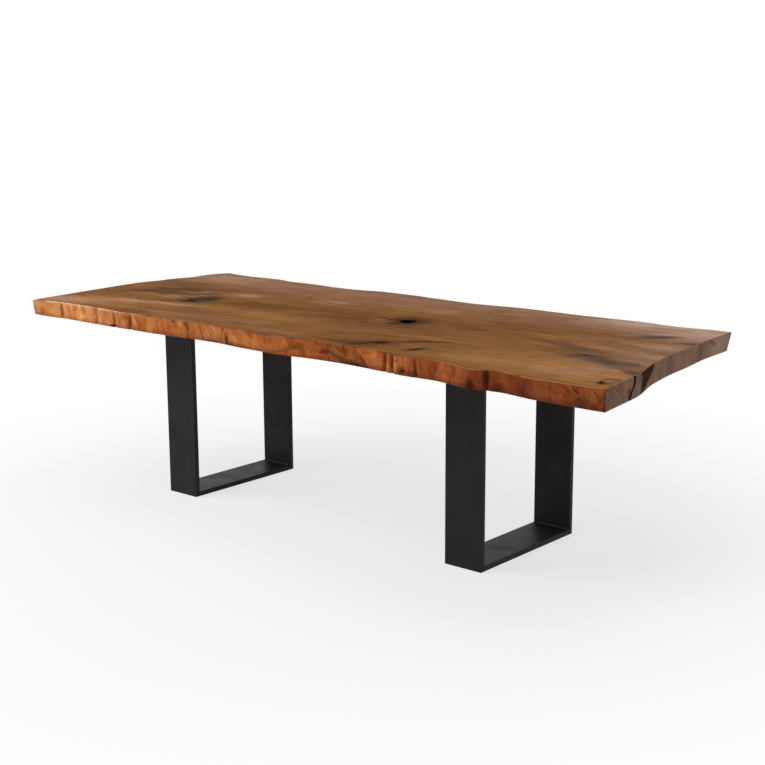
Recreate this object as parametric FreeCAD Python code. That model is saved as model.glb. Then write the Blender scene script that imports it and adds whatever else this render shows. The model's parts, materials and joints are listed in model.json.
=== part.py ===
import FreeCAD, Part

import math
import os

from FreeCAD import Vector

# Live edge dining table: one thick slab on two welded loops of wide flat steel bar.
# +X runs along the slab, +Y towards the far long side, +Z up.
# The origin is on the floor under the middle of the slab. Lengths are in millimetres.

# Slab
table_height = 750.0
slab_length = 2750.0
slab_width = 1122.0
slab_thickness = 66.0

# Natural outline of the slab, as points (station, top inset, bottom inset).
# A station is the share of the way along the side, an inset is the distance
# from the rectangle of slab_length by slab_width to the wood's edge.
near_side = [
    (0.054, 60, 74), (0.091, 74, 81), (0.142, 72, 75), (0.192, 63, 73), (0.239, 57, 73),
    (0.295, 64, 73), (0.355, 68, 81), (0.396, 68, 84), (0.450, 57, 68), (0.476, 47, 65),
    (0.526, 54, 60), (0.571, 69, 74), (0.625, 67, 75), (0.670, 61, 65), (0.738, 33, 47),
    (0.766, 37, 50), (0.805, 25, 29), (0.836, 2, 20), (0.853, 24, 32), (0.894, 10, 20),
    (0.949, 4, 7),
]
far_side = [
    (0.058, 14, 30), (0.107, 20, 38), (0.151, 17, 40), (0.179, 33, 54), (0.223, 35, 58),
    (0.269, 45, 66), (0.331, 47, 70), (0.365, 27, 53), (0.403, 25, 50), (0.443, 32, 52),
    (0.504, 51, 70), (0.576, 53, 74), (0.622, 36, 60), (0.673, 41, 64), (0.752, 44, 66),
    (0.827, 40, 60), (0.872, 51, 70), (0.905, 41, 58),
]
left_side = [
    (0.176, 54, 46), (0.277, 36, 37), (0.378, 24, 31), (0.484, 8, 18), (0.564, 1, 12),
    (0.633, 7, 18), (0.675, 19, 28), (0.727, 18, 29), (0.810, 43, 52), (0.869, 40, 52),
]
right_side = [
    (0.072, 15, 11), (0.130, 23, 20), (0.197, 32, 31), (0.259, 46, 48), (0.335, 72, 76),
    (0.440, 101, 103), (0.520, 116, 119), (0.620, 125, 132), (0.700, 136, 145),
    (0.780, 146, 158), (0.870, 157, 166),
]

# Corners of the slab, as (inset from the end, inset from the long side) at top and bottom
near_left_corner = [(82, 46), (52, 79)]
near_right_corner = [(5, 12), (0, 4)]
far_right_corner = [(161, 39), (171, 60)]
far_left_corner = [(78, 0), (90, 18)]

# Drying crack in the right end: upright down to a knee, then leaning to the near side
crack_top_from_near = 215.0
crack_bottom_from_near = 166.0
crack_knee_below_top = 18.0
crack_reach_top = 72.0
crack_reach_bottom = 92.0
crack_gape_top = 13.0
crack_gape_bottom = 8.0

# Knots stopped with dark resin: place of the middle, size and turn in degrees
left_knot_from_left_end = 596.0
left_knot_from_near = 480.0
left_knot_length = 140.0
left_knot_width = 84.0
left_knot_turn = 58.0
left_knot_resin_below_top = 0.6
centre_knot_from_left_end = 1584.0
centre_knot_from_near = 567.0
centre_knot_length = 76.0
centre_knot_width = 60.0
centre_knot_turn = -54.0
centre_knot_resin_below_top = 8.0
corner_knot_from_right_end = 57.0
corner_knot_from_near = 74.0
corner_knot_length = 36.0
corner_knot_width = 15.0
corner_knot_turn = 108.0
corner_knot_resin_below_top = 4.0
knot_depth = 20.0
knot_floor_scale = 0.8
knot_lobe_height = 0.10
knot_lobes = 3
knot_outline_points = 12
resin_clearance = 0.1

# Leg loops of flat bar, mitred and welded at the corners
bar_width = 152.0
bar_thickness = 19.0
bar_edge_radius = 1.2
loop_width = 548.0
loop_spacing = 1385.0
loops_offset_x = -14.0
loops_offset_y = -5.0
weld_leg = 6.0
weld_end_gap = 4.0

# Screws up through the top bar into threaded inserts
screw_diameter = 8.0
screw_head_diameter = 14.0
screw_head_height = 4.4
screw_head_flat = 7.0
screw_dome_fullness = 0.72
screw_socket_width = 5.0
screw_socket_depth = 2.6
screw_grip_in_insert = 18.5
screw_from_bar_edge = 31.0
screw_from_upright = 65.0
washer_diameter = 24.0
washer_thickness = 2.0
washer_clearance = 0.2
insert_wall = 1.95
insert_length = 20.0
insert_below_face = 0.5
insert_end_room = 1.5
insert_clearance = 0.05
thread_clearance = 0.05
hole_clearance = 0.5
slot_travel = 10.0

# Floor pads under each foot bar
pad_thickness = 2.0
pad_length = 48.0
pad_from_bar_end = 14.0
pad_from_bar_edge = 11.0
pad_corner_radius = 6.0

# Room past a face for a cutting tool, and the slack in a test of direction
overshoot = 2.0
angle_tolerance = 0.001

# Derived sizes
insert_bore = screw_diameter + 2 * thread_clearance
insert_diameter = insert_bore + 2 * insert_wall
insert_hole_depth = insert_below_face + max(insert_length, screw_grip_in_insert) + insert_end_room

# Levels
slab_bottom = table_height - slab_thickness
loop_bottom = pad_thickness
loop_top = slab_bottom
top_bar_underside = loop_top - bar_thickness

TOP = 0
BOTTOM = 1


def corner_point(corner, level, end_sign, side_sign, z):
    """One corner of the slab outline."""
    end_inset, side_inset = corner[level]
    return Vector(end_sign * (slab_length / 2 - end_inset), side_sign * (slab_width / 2 - side_inset), z)


def long_side_points(side, level, side_sign, z):
    """Points along a long side, from left to right."""
    return [
        Vector((point[0] - 0.5) * slab_length, side_sign * (slab_width / 2 - point[1 + level]), z)
        for point in side
    ]


def end_points(side, level, end_sign, z):
    """Points along an end, from the near side to the far side."""
    return [
        Vector(end_sign * (slab_length / 2 - point[1 + level]), (point[0] - 0.5) * slab_width, z)
        for point in side
    ]


def spline(points):
    curve = Part.BSplineCurve()
    curve.interpolate(points)
    return curve.toShape()


def slab_outline(level, z):
    """Closed outline of the slab at its top or its bottom: near, right, far and left edges."""
    near_left = corner_point(near_left_corner, level, -1, -1, z)
    near_right = corner_point(near_right_corner, level, 1, -1, z)
    far_right = corner_point(far_right_corner, level, 1, 1, z)
    far_left = corner_point(far_left_corner, level, -1, 1, z)
    near = [near_left] + long_side_points(near_side, level, -1, z) + [near_right]
    right = [near_right] + end_points(right_side, level, 1, z) + [far_right]
    far = [far_left] + long_side_points(far_side, level, 1, z) + [far_right]
    left = [near_left] + end_points(left_side, level, -1, z) + [far_left]
    return Part.Wire([spline(near), spline(right), spline(far[::-1]), spline(left[::-1])])


def crack_tool():
    """Thin wedge through the whole thickness at the right end."""
    def triangle(from_near, reach, gape, z):
        mouth_x = slab_length / 2 + overshoot
        tip_x = slab_length / 2 - reach
        y = from_near - slab_width / 2
        half_mouth = gape / 2 * (mouth_x - tip_x) / reach
        return Part.makePolygon([
            Vector(tip_x, y, z),
            Vector(mouth_x, y - half_mouth, z),
            Vector(mouth_x, y + half_mouth, z),
            Vector(tip_x, y, z),
        ])

    low_z = slab_bottom - overshoot
    knee_z = table_height - crack_knee_below_top
    high_z = table_height + overshoot
    return Part.makeLoft([
        triangle(crack_bottom_from_near, crack_reach_bottom, crack_gape_bottom, low_z),
        triangle(crack_top_from_near, crack_reach_top, crack_gape_top, knee_z),
        triangle(crack_top_from_near, crack_reach_top, crack_gape_top, high_z),
    ], True, True)


def knots():
    """Name, centre, length, width and turn of each knot, and how far its resin lies below the top."""
    left_end = -slab_length / 2
    near_edge = -slab_width / 2
    return [
        ("left", left_end + left_knot_from_left_end, near_edge + left_knot_from_near,
         left_knot_length, left_knot_width, left_knot_turn, left_knot_resin_below_top),
        ("centre", left_end + centre_knot_from_left_end, near_edge + centre_knot_from_near,
         centre_knot_length, centre_knot_width, centre_knot_turn, centre_knot_resin_below_top),
        ("corner", slab_length / 2 - corner_knot_from_right_end, near_edge + corner_knot_from_near,
         corner_knot_length, corner_knot_width, corner_knot_turn, corner_knot_resin_below_top),
    ]


def knot_solid(knot, inset, z_low, z_high):
    """Lobed oval plug of a knot between two levels, narrowing towards the pocket's floor."""
    _, x, y, length, width, turn, _ = knot

    def section(z):
        above_floor = (z - (table_height - knot_depth)) / knot_depth
        scale = knot_floor_scale + (1 - knot_floor_scale) * above_floor
        points = []
        for step in range(knot_outline_points):
            angle = 2 * math.pi * step / knot_outline_points
            lobe = 1 + knot_lobe_height * math.cos(knot_lobes * angle)
            along = (length / 2 - inset) * scale * lobe * math.cos(angle)
            across = (width / 2 - inset) * scale * lobe * math.sin(angle)
            points.append(Vector(along, across, 0))
        curve = Part.BSplineCurve()
        curve.interpolate(points, True)
        wire = Part.Wire([curve.toShape()])
        wire.rotate(Vector(0, 0, 0), Vector(0, 0, 1), turn)
        wire.translate(Vector(x, y, z))
        return wire

    return Part.makeLoft([section(z_low), section(z_high)], True, True)


def resin_fill(knot):
    resin_level = table_height - knot[-1]
    return knot_solid(knot, resin_clearance, table_height - knot_depth, resin_level)


def loop_centres():
    """Prefix and X of each leg loop."""
    return [
        ("left", loops_offset_x - loop_spacing / 2),
        ("right", loops_offset_x + loop_spacing / 2),
    ]


def screw_places(loop_x):
    """X, Y of the screws of one loop, and whether each one sits in a slot."""
    reach_x = bar_width / 2 - screw_from_bar_edge
    reach_y = loop_width / 2 - bar_thickness - screw_from_upright
    return [
        (loop_x + side * reach_x, loops_offset_y + row * reach_y, row != 0)
        for side in (-1, 1)
        for row in (-1, 0, 1)
    ]


def live_edge_slab():
    outline_low = slab_outline(BOTTOM, slab_bottom)
    outline_high = slab_outline(TOP, table_height)
    slab = Part.makeLoft([outline_low, outline_high], True, True)
    tools = [crack_tool()]
    for knot in knots():
        tools.append(knot_solid(knot, 0, table_height - knot_depth, table_height + overshoot))
    insert_hole_radius = insert_diameter / 2 + insert_clearance
    for _, loop_x in loop_centres():
        for x, y, _ in screw_places(loop_x):
            mouth = Vector(x, y, slab_bottom - overshoot)
            tools.append(Part.makeCylinder(insert_hole_radius, insert_hole_depth + overshoot, mouth))
    return slab.cut(tools)


def edges_along(shape, direction):
    """Straight edges of a shape that run along a direction."""
    return [
        edge for edge in shape.Edges
        if edge.tangentAt(edge.FirstParameter).cross(direction).Length < angle_tolerance
    ]


def mitred_bar(loop_x, corners):
    """Flat bar with mitred ends, from its four side-view corners: outer start, outer end, inner end,
    inner start. The long edges are rounded a little."""
    points = [Vector(loop_x - bar_width / 2, y, z) for y, z in corners]
    bar = Part.Face(Part.makePolygon(points + points[:1])).extrude(Vector(bar_width, 0, 0))
    long_edges = edges_along(bar, Vector(0, 1, 0)) + edges_along(bar, Vector(0, 0, 1))
    return bar.makeFillet(bar_edge_radius, long_edges)


def loop_bars(loop_x):
    """The four bars of one loop, by name."""
    near = loops_offset_y - loop_width / 2
    far = loops_offset_y + loop_width / 2
    outer = [(near, loop_bottom), (far, loop_bottom), (far, loop_top), (near, loop_top)]
    inner = [
        (near + bar_thickness, loop_bottom + bar_thickness),
        (far - bar_thickness, loop_bottom + bar_thickness),
        (far - bar_thickness, top_bar_underside),
        (near + bar_thickness, top_bar_underside),
    ]
    names = ["foot_bar", "far_upright", "top_bar", "near_upright"]
    bars = {}
    for start, name in enumerate(names):
        end = (start + 1) % len(names)
        bars[name] = mitred_bar(loop_x, [outer[start], outer[end], inner[end], inner[start]])
    bars["top_bar"] = bars["top_bar"].cut(screw_holes(loop_x))
    return bars


def screw_holes(loop_x):
    """Round holes for the middle screws, slots across the grain for the outer ones."""
    radius = screw_diameter / 2 + hole_clearance
    depth = bar_thickness + 2 * overshoot
    tools = []
    for x, y, slotted in screw_places(loop_x):
        half_travel = slot_travel / 2 if slotted else 0
        low = top_bar_underside - overshoot
        ends = [
            Part.makeCylinder(radius, depth, Vector(x, y - half_travel, low)),
            Part.makeCylinder(radius, depth, Vector(x, y + half_travel, low)),
        ]
        if slotted:
            middle = Part.makeBox(2 * radius, slot_travel, depth, Vector(x - radius, y - half_travel, low))
            tools.append(middle.fuse(ends).removeSplitter())
        else:
            tools.append(ends[0])
    return tools


def corner_welds(loop_x):
    """Fillet weld in each inside corner of a loop."""
    inner_near = loops_offset_y - loop_width / 2 + bar_thickness
    inner_far = loops_offset_y + loop_width / 2 - bar_thickness
    inner_low = loop_bottom + bar_thickness
    inner_high = top_bar_underside
    x = loop_x - bar_width / 2 + weld_end_gap
    length = bar_width - 2 * weld_end_gap
    welds = []
    for y, step_y in ((inner_near, 1), (inner_far, -1)):
        for z, step_z in ((inner_low, 1), (inner_high, -1)):
            root = Vector(x, y, z)
            foot = Vector(x, y + step_y * weld_leg, z)
            head = Vector(x, y, z + step_z * weld_leg)
            outline = Part.makePolygon([root, foot, head, root])
            welds.append(Part.Face(outline).extrude(Vector(length, 0, 0)))
    return Part.makeCompound(welds)


def screw(x, y):
    """Button head screw with a hexagon socket, head down against its washer."""
    seat = top_bar_underside - washer_thickness
    head_low = seat - screw_head_height
    tip = slab_bottom + insert_below_face + screw_grip_in_insert
    head_radius = screw_head_diameter / 2
    flat_radius = screw_head_flat / 2
    shank_radius = screw_diameter / 2
    dome_radius = flat_radius + (head_radius - flat_radius) * screw_dome_fullness
    dome_level = seat - screw_head_height * screw_dome_fullness
    dome = Part.Arc(
        Vector(flat_radius, 0, head_low),
        Vector(dome_radius, 0, dome_level),
        Vector(head_radius, 0, seat),
    ).toShape()
    profile = Part.Wire([
        Part.makeLine(Vector(0, 0, head_low), Vector(flat_radius, 0, head_low)),
        dome,
        Part.makeLine(Vector(head_radius, 0, seat), Vector(shank_radius, 0, seat)),
        Part.makeLine(Vector(shank_radius, 0, seat), Vector(shank_radius, 0, tip)),
        Part.makeLine(Vector(shank_radius, 0, tip), Vector(0, 0, tip)),
        Part.makeLine(Vector(0, 0, tip), Vector(0, 0, head_low)),
    ])
    body = Part.Face(profile).revolve(Vector(0, 0, 0), Vector(0, 0, 1), 360)
    across_corners = screw_socket_width / math.cos(math.radians(30))
    hexagon = []
    for side in range(7):
        point = Vector(across_corners / 2, 0, head_low - overshoot)
        hexagon.append(FreeCAD.Rotation(Vector(0, 0, 1), 60 * side).multVec(point))
    socket = Part.Face(Part.makePolygon(hexagon)).extrude(Vector(0, 0, screw_socket_depth + overshoot))
    body = body.cut(socket)
    body.translate(Vector(x, y, 0))
    return body


def ring(base, outer_diameter, inner_diameter, height):
    outside = Part.makeCylinder(outer_diameter / 2, height, base)
    return outside.cut(Part.makeCylinder(inner_diameter / 2, height, base))


def loop_fasteners(loop_x):
    """Screws, washers and threaded inserts of one loop, each kind as a group."""
    screws = []
    washers = []
    inserts = []
    washer_hole = screw_diameter + 2 * washer_clearance
    for x, y, _ in screw_places(loop_x):
        screws.append(screw(x, y))
        washer_place = Vector(x, y, top_bar_underside - washer_thickness)
        washers.append(ring(washer_place, washer_diameter, washer_hole, washer_thickness))
        insert_place = Vector(x, y, slab_bottom + insert_below_face)
        inserts.append(ring(insert_place, insert_diameter, insert_bore, insert_length))
    return {
        "screws": Part.makeCompound(screws),
        "washers": Part.makeCompound(washers),
        "threaded_inserts": Part.makeCompound(inserts),
    }


def floor_pads(loop_x):
    """Two thin pads under the foot bar, one near each upright."""
    width = bar_width - 2 * pad_from_bar_edge
    near = loops_offset_y - loop_width / 2 + pad_from_bar_end
    far = loops_offset_y + loop_width / 2 - pad_from_bar_end - pad_length
    pads = []
    for y in (near, far):
        pad = Part.makeBox(width, pad_length, pad_thickness, Vector(loop_x - width / 2, y, 0))
        pads.append(pad.makeFillet(pad_corner_radius, edges_along(pad, Vector(0, 0, 1))))
    return Part.makeCompound(pads)


def build():
    """Every node of the table, by name."""
    nodes = {"live_edge_slab": live_edge_slab()}
    for knot in knots():
        nodes["knot_fill_" + knot[0]] = resin_fill(knot)
    for prefix, loop_x in loop_centres():
        pieces = loop_bars(loop_x)
        pieces["corner_welds"] = corner_welds(loop_x)
        pieces.update(loop_fasteners(loop_x))
        pieces["floor_pads"] = floor_pads(loop_x)
        for name, shape in pieces.items():
            nodes[prefix + "_" + name] = shape
    return nodes


os.makedirs("parts", exist_ok=True)
for node_name, node_shape in build().items():
    node_shape.exportStep("parts/" + node_name + ".step")
    print(node_name, len(node_shape.Solids), round(node_shape.Volume), node_shape.isValid())
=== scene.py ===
"""Looks of the live edge dining table, in metres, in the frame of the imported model.

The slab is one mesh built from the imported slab's own outline, pockets and crack, with eased edges, bark
grooves, a crooked crack and ragged knot walls worked into it. The resin in the knots and the rippled weld
beads are modelled too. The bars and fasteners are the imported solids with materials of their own.
"""

import json
import math

import bpy
import numpy as np
from mathutils import Matrix, Vector, noise
from mathutils.geometry import delaunay_2d_cdt


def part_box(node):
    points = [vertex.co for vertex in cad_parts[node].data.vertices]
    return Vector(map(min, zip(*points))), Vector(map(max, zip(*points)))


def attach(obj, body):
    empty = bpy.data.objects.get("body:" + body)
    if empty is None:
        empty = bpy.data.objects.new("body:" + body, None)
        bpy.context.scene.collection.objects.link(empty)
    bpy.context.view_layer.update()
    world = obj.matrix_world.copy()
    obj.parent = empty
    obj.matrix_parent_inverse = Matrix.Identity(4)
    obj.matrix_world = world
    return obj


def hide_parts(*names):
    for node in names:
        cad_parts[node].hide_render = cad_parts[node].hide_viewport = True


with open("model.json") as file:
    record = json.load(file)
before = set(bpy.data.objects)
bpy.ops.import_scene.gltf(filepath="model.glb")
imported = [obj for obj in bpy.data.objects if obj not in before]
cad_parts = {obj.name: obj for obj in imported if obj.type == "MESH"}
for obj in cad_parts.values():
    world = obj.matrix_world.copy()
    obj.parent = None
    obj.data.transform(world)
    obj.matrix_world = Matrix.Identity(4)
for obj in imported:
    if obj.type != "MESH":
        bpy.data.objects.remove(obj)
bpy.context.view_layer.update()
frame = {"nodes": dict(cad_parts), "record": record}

# Slab levels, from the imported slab
SLAB = "live_edge_slab"
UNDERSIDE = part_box(SLAB)[0].z
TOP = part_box(SLAB)[1].z
THICKNESS = TOP - UNDERSIDE

# How finely the slab's rim is divided
COLUMN_STEP = 0.004
ARRIS_ROWS = 5
FACE_ROWS = 16
CRACK_COLUMNS = 14
CAP_GRID = 0.035
CAP_MARGIN = 0.02
HOLE_MARGIN = CAP_MARGIN / 3
CAP_SLACK = 1e-7

# Eased edges: radius at the top of the near live edge from left to right, of the other sides, and below
NEAR_ARRIS_LEFT = 0.0055
NEAR_ARRIS_RIGHT = 0.0030
END_ARRIS = 0.0025
LOWER_ARRIS = 0.0035
CRACK_ARRIS = 0.0008
CORNER_ROUNDING = 0.003

# Bark grooves down the near live edge: x, half width, depth, lean of the foot, lowest and highest share
NEAR_GROOVES = [
    (-1.257, 0.004, 0.0012, -0.004, 0.1, 0.9),
    (-1.178, 0.004, 0.0012, 0.004, 0.5, 1.0),
    (-1.154, 0.007, 0.0045, -0.006, 0.0, 1.0),
    (-0.933, 0.008, 0.004, -0.006, 0.0, 1.0),
    (-0.824, 0.007, 0.005, -0.006, 0.0, 0.9),
    (-0.727, 0.008, 0.006, -0.018, 0.0, 1.0),
    (-0.575, 0.005, 0.0025, 0.002, 0.0, 1.0),
    (-0.538, 0.004, 0.0012, 0.0, 0.1, 0.9),
    (-0.416, 0.006, 0.005, -0.008, 0.0, 1.0),
    (-0.212, 0.006, 0.003, 0.002, 0.0, 0.55),
    (0.003, 0.005, 0.0025, -0.006, 0.5, 1.0),
    (0.536, 0.009, 0.0065, -0.012, 0.0, 1.0),
    (0.569, 0.008, 0.0065, -0.012, 0.0, 1.0),
    (0.67, 0.006, 0.003, -0.004, 0.0, 1.0),
    (0.75, 0.005, 0.0025, -0.01, 0.4, 1.0),
    (0.905, 0.008, 0.003, 0.0, 0.0, 0.6),
    (0.956, 0.008, 0.006, -0.004, 0.0, 1.0),
]

# The same down the far live edge
FAR_GROOVES = [
    (-1.12, 0.007, 0.0035, 0.008, 0.0, 1.0),
    (-0.86, 0.006, 0.003, -0.006, 0.0, 0.8),
    (-0.61, 0.009, 0.005, 0.01, 0.0, 1.0),
    (-0.33, 0.006, 0.003, -0.008, 0.2, 1.0),
    (-0.08, 0.008, 0.0045, 0.006, 0.0, 1.0),
    (0.26, 0.006, 0.005, -0.01, 0.0, 1.0),
    (0.31, 0.005, 0.0035, -0.008, 0.0, 0.9),
    (0.64, 0.008, 0.004, 0.012, 0.0, 1.0),
    (0.93, 0.007, 0.0045, -0.006, 0.0, 1.0),
]

# The crack runs straight down to its knee and then leans; its lips have crumbled to this many times its gape
CRACK_KNEE = 0.018
CRACK_GAPE = 1.8

# The crack barely shows in the top: how much shorter it is there, and over what depth it grows to its
# full length
CRACK_CLOSED = 0.8
CRACK_SKIN = 0.010

# The far edge's foot stands out towards the right end: by how much there, and from where along the slab
FAR_FLARE = 0.013
FAR_FLARE_FROM = 0.95

# The near left corner reaches out to the left: by how much there, above and below, and from where
# across the slab
LEFT_REACH = 0.008
LEFT_FOOT_REACH = 0.015
LEFT_REACH_FROM = -0.25

# Sides with bark, and sides that begin at a corner
LIVE_SIDES = ("near", "far")
CORNER_SIDES = ("near", "right_near", "far", "left")

# Walls of the crack: how fast they close, and reach, noise scale, seed and onset of their wandering
CRACK_TAPER = 1.3
CRACK_WANDER = 0.004
CRACK_WAVES = (5, 1, 3.5)
CRACK_SEED = 3.0
CRACK_ONSET = 3

# Relief of the live edges: noise scale, seed and height of the swell, the ripples and the finest part
SWELL = ((7, 7, 9), 0.0, 0.0020)
RIPPLE = ((45, 45, 16), 5.0, 0.0008)
FINE = ((160, 160, 30), 9.0, 0.0003)

# Shares of that relief on the sawn ends and in the crack, and how far the ends of a groove fade
SAWN_RIPPLE = 0.3
SAWN_FINE = 0.5
CRACK_RIPPLE = 0.5
GROOVE_FADE = 0.12

# Places are the same to this many digits, and faces are level within this height
PLACE_DIGITS = 5
LEVEL_SLACK = 1e-5


def colour(red, green, blue):
    """Linear colour of an 8-bit screen colour."""
    share = [value / 255 for value in (red, green, blue)]
    return (*[((s + 0.055) / 1.055) ** 2.4 if s > 0.04045 else s / 12.92 for s in share], 1.0)


def perimeter(loop):
    """Length of a closed loop of points."""
    return np.linalg.norm(np.roll(loop, -1, axis=0) - loop, axis=1).sum()


def loops_at(node, level):
    """Boundary loops of a node's flat faces at one height, each an array of x, y, the longest first."""
    mesh = frame["nodes"][node].data
    points = np.array([v.co for v in mesh.vertices])
    first = {}
    welded = [first.setdefault(tuple(np.round(p, PLACE_DIGITS)), i) for i, p in enumerate(points)]
    flat = np.abs(points[:, 2] - level) < LEVEL_SLACK
    edges = set()
    for face in mesh.polygons:
        if all(flat[i] for i in face.vertices):
            ring = [welded[i] for i in face.vertices]
            for start, end in zip(ring, ring[1:] + ring[:1]):
                if (end, start) in edges:
                    edges.remove((end, start))
                else:
                    edges.add((start, end))
    following = dict(edges)
    loops = []
    while following:
        start, at = following.popitem()
        loop = [start]
        while at != start:
            loop.append(at)
            at = following.pop(at)
        loops.append(points[loop, :2])
    return sorted(loops, key=perimeter, reverse=True)


def turns(loop):
    """How sharply a closed loop turns at each of its points, in radians."""
    before = loop - np.roll(loop, 1, axis=0)
    after = np.roll(loop, -1, axis=0) - loop
    cross = before[:, 0] * after[:, 1] - before[:, 1] * after[:, 0]
    return np.abs(np.arctan2(cross, (before * after).sum(axis=1)))


def signed_area(loop):
    """Area of a closed loop, above zero where it runs anticlockwise."""
    x, y = loop.T
    return 0.5 * np.sum(x * np.roll(y, -1) - y * np.roll(x, -1))


def curve_through(along, across):
    """Smooth curve through points, as a function of the coordinate along a side."""
    order = np.argsort(along)
    along, across = along[order], across[order]
    slopes = np.gradient(across, along)

    def at(value):
        i = np.clip(np.searchsorted(along, value) - 1, 0, len(along) - 2)
        step = along[i + 1] - along[i]
        t = (value - along[i]) / step
        ends = (1 + 2 * t) * (1 - t) ** 2 * across[i] + t**2 * (3 - 2 * t) * across[i + 1]
        return ends + t * (1 - t) * step * ((1 - t) * slopes[i] - t * slopes[i + 1])

    return at


def read_outline(level):
    """The slab's outline at one level: its four sides as curves with their ends, and the crack."""
    loop = loops_at(SLAB, level)[0]
    if signed_area(loop) < 0:
        loop = loop[::-1]
    tip = int(np.argmax(turns(loop)))
    loop = np.roll(loop, 1 - tip, axis=0)
    outline = {"crack": {"near": loop[0], "tip": loop[1], "far": loop[2]}}
    loop = np.delete(loop, 1, axis=0)
    corners = sorted(np.argsort(turns(loop))[-4:])
    for start, end in zip(corners, corners[1:] + [corners[0] + len(loop)]):
        side = np.array([loop[i % len(loop)] for i in range(start, end + 1)])
        run = side[-1] - side[0]
        if abs(run[0]) > abs(run[1]):
            name, along, across = ("near" if run[0] > 0 else "far"), side[:, 0], side[:, 1]
        else:
            name, along, across = ("right" if run[1] > 0 else "left"), side[:, 1], side[:, 0]
        outline[name] = {"curve": curve_through(along, across), "from": along[0], "to": along[-1]}
    return outline


top_outline = read_outline(TOP)
low_outline = read_outline(UNDERSIDE)


def drawn_out(curve, begin, end, reach):
    """A side that stands out more and more from one place along it to its end."""

    def at(value):
        share = np.clip((value - begin) / (end - begin), 0, 1)
        return curve(value) + reach * share**2 * (3 - 2 * share)

    return at


far, right = low_outline["far"], low_outline["right"]
far["curve"] = drawn_out(far["curve"], FAR_FLARE_FROM, far["from"], FAR_FLARE)
right["to"] += FAR_FLARE
for outline, reach in ((top_outline, LEFT_REACH), (low_outline, LEFT_FOOT_REACH)):
    left, near = outline["left"], outline["near"]
    left["curve"] = drawn_out(left["curve"], LEFT_REACH_FROM, left["to"], -reach)
    near["from"] -= reach


def between(low, high, share):
    """Straight blend from low to high."""
    return low + (high - low) * share


def side_points(side, t, height, start=None, end=None):
    """Points of one side for shares t along it, at shares of the height; start and end may cut it short."""
    low, high = low_outline[side], top_outline[side]
    start = between(low["from"], high["from"], height) if start is None else start
    end = between(low["to"], high["to"], height) if end is None else end
    along = between(start, end, t)
    across = between(low["curve"](along), high["curve"](along), height)
    if side in LIVE_SIDES:
        return np.stack([along, across], axis=-1)
    return np.stack([across, along], axis=-1)


def noise_at(points, scale, seed=0.0):
    """Smooth noise from -1 to 1 at an array of points, with a scale for each axis."""
    stretched = points * np.array(scale) + seed
    return np.array([noise.noise(Vector(p)) for p in stretched.reshape(-1, 3)]).reshape(points.shape[:-1])


def crack_levels(height):
    """The crack's near lip, tip and far lip at shares of the slab's height, as three arrays of points."""
    knee = 1 - CRACK_KNEE / THICKNESS
    lean = np.clip(height / knee, 0, 1)[..., None]
    low, high = low_outline["crack"], top_outline["crack"]
    near_lip, tip, far_lip = [between(low[name], high[name], lean) for name in ("near", "tip", "far")]
    middle = (near_lip + far_lip) / 2
    closed = CRACK_CLOSED * np.clip(1 - (1 - height) * THICKNESS / CRACK_SKIN, 0, 1)[..., None]
    tip = between(tip, middle, closed)
    return middle + CRACK_GAPE * (near_lip - middle), tip, middle + CRACK_GAPE * (far_lip - middle)


def crack_column(share, height, near_lip, tip, far_lip):
    """Plan of one column of the crack's walls, which close towards its tip and wander on the way."""
    depth = 1 - abs(2 * share - 1)
    lip = near_lip if share < 0.5 else far_lip
    middle = (near_lip + far_lip) / 2
    plan = between(middle, tip, depth) + (lip - middle) * (1 - depth**CRACK_TAPER)
    spots = np.stack([np.full_like(height, depth), np.zeros_like(height), height], axis=-1)
    plan[:, 1] += CRACK_WANDER * noise_at(spots, CRACK_WAVES, CRACK_SEED) * min(1, CRACK_ONSET * depth)
    return plan


def rim_layout():
    """Columns of the rim, anticlockwise from the near left corner: the side and the share along it."""
    layout = []
    for side in ("near", "right_near", "crack", "right_far", "far", "left"):
        if side == "crack":
            steps = 2 * CRACK_COLUMNS
        else:
            ends = top_outline[side.split("_")[0]]
            start, end = ends["from"], ends["to"]
            if side == "right_near":
                end = top_outline["crack"]["near"][1]
            elif side == "right_far":
                start = top_outline["crack"]["far"][1]
            steps = round(abs(end - start) / COLUMN_STEP)
        layout += [(side, i / steps) for i in range(steps)]
    return layout


def rim_rows(radius_top, radius_low):
    """Height above the underside and inset of each rim row, from the top down, for each column."""
    angles = np.linspace(0, math.pi / 2, ARRIS_ROWS + 1)
    drop = 1 - np.cos(angles)
    inset = 1 - np.sin(angles)
    upper = THICKNESS - radius_top * drop[:, None]
    lower = radius_low * drop[::-1, None]
    shares = np.linspace(0, 1, FACE_ROWS + 1)[1:-1, None]
    face = between(upper[-1], lower[0], shares)
    heights = np.concatenate([upper, face, lower])
    flat = np.zeros_like(face)
    insets = np.concatenate([radius_top * inset[:, None], flat, radius_low * inset[::-1, None]])
    return heights, insets


def groove_relief(grooves, x, height):
    """Depth of the bark grooves of a live edge, below zero where they cut in."""
    relief = np.zeros_like(x)
    for place, half_width, depth, lean, lowest, highest in grooves:
        offset = (x - place - lean * (0.5 - height)) / half_width
        above = np.clip((height - lowest) / GROOVE_FADE + 1, 0, 1)
        below = np.clip((highest - height) / GROOVE_FADE + 1, 0, 1)
        relief -= depth * np.exp(-(offset**2)) * (above * below)
    return relief


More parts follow.
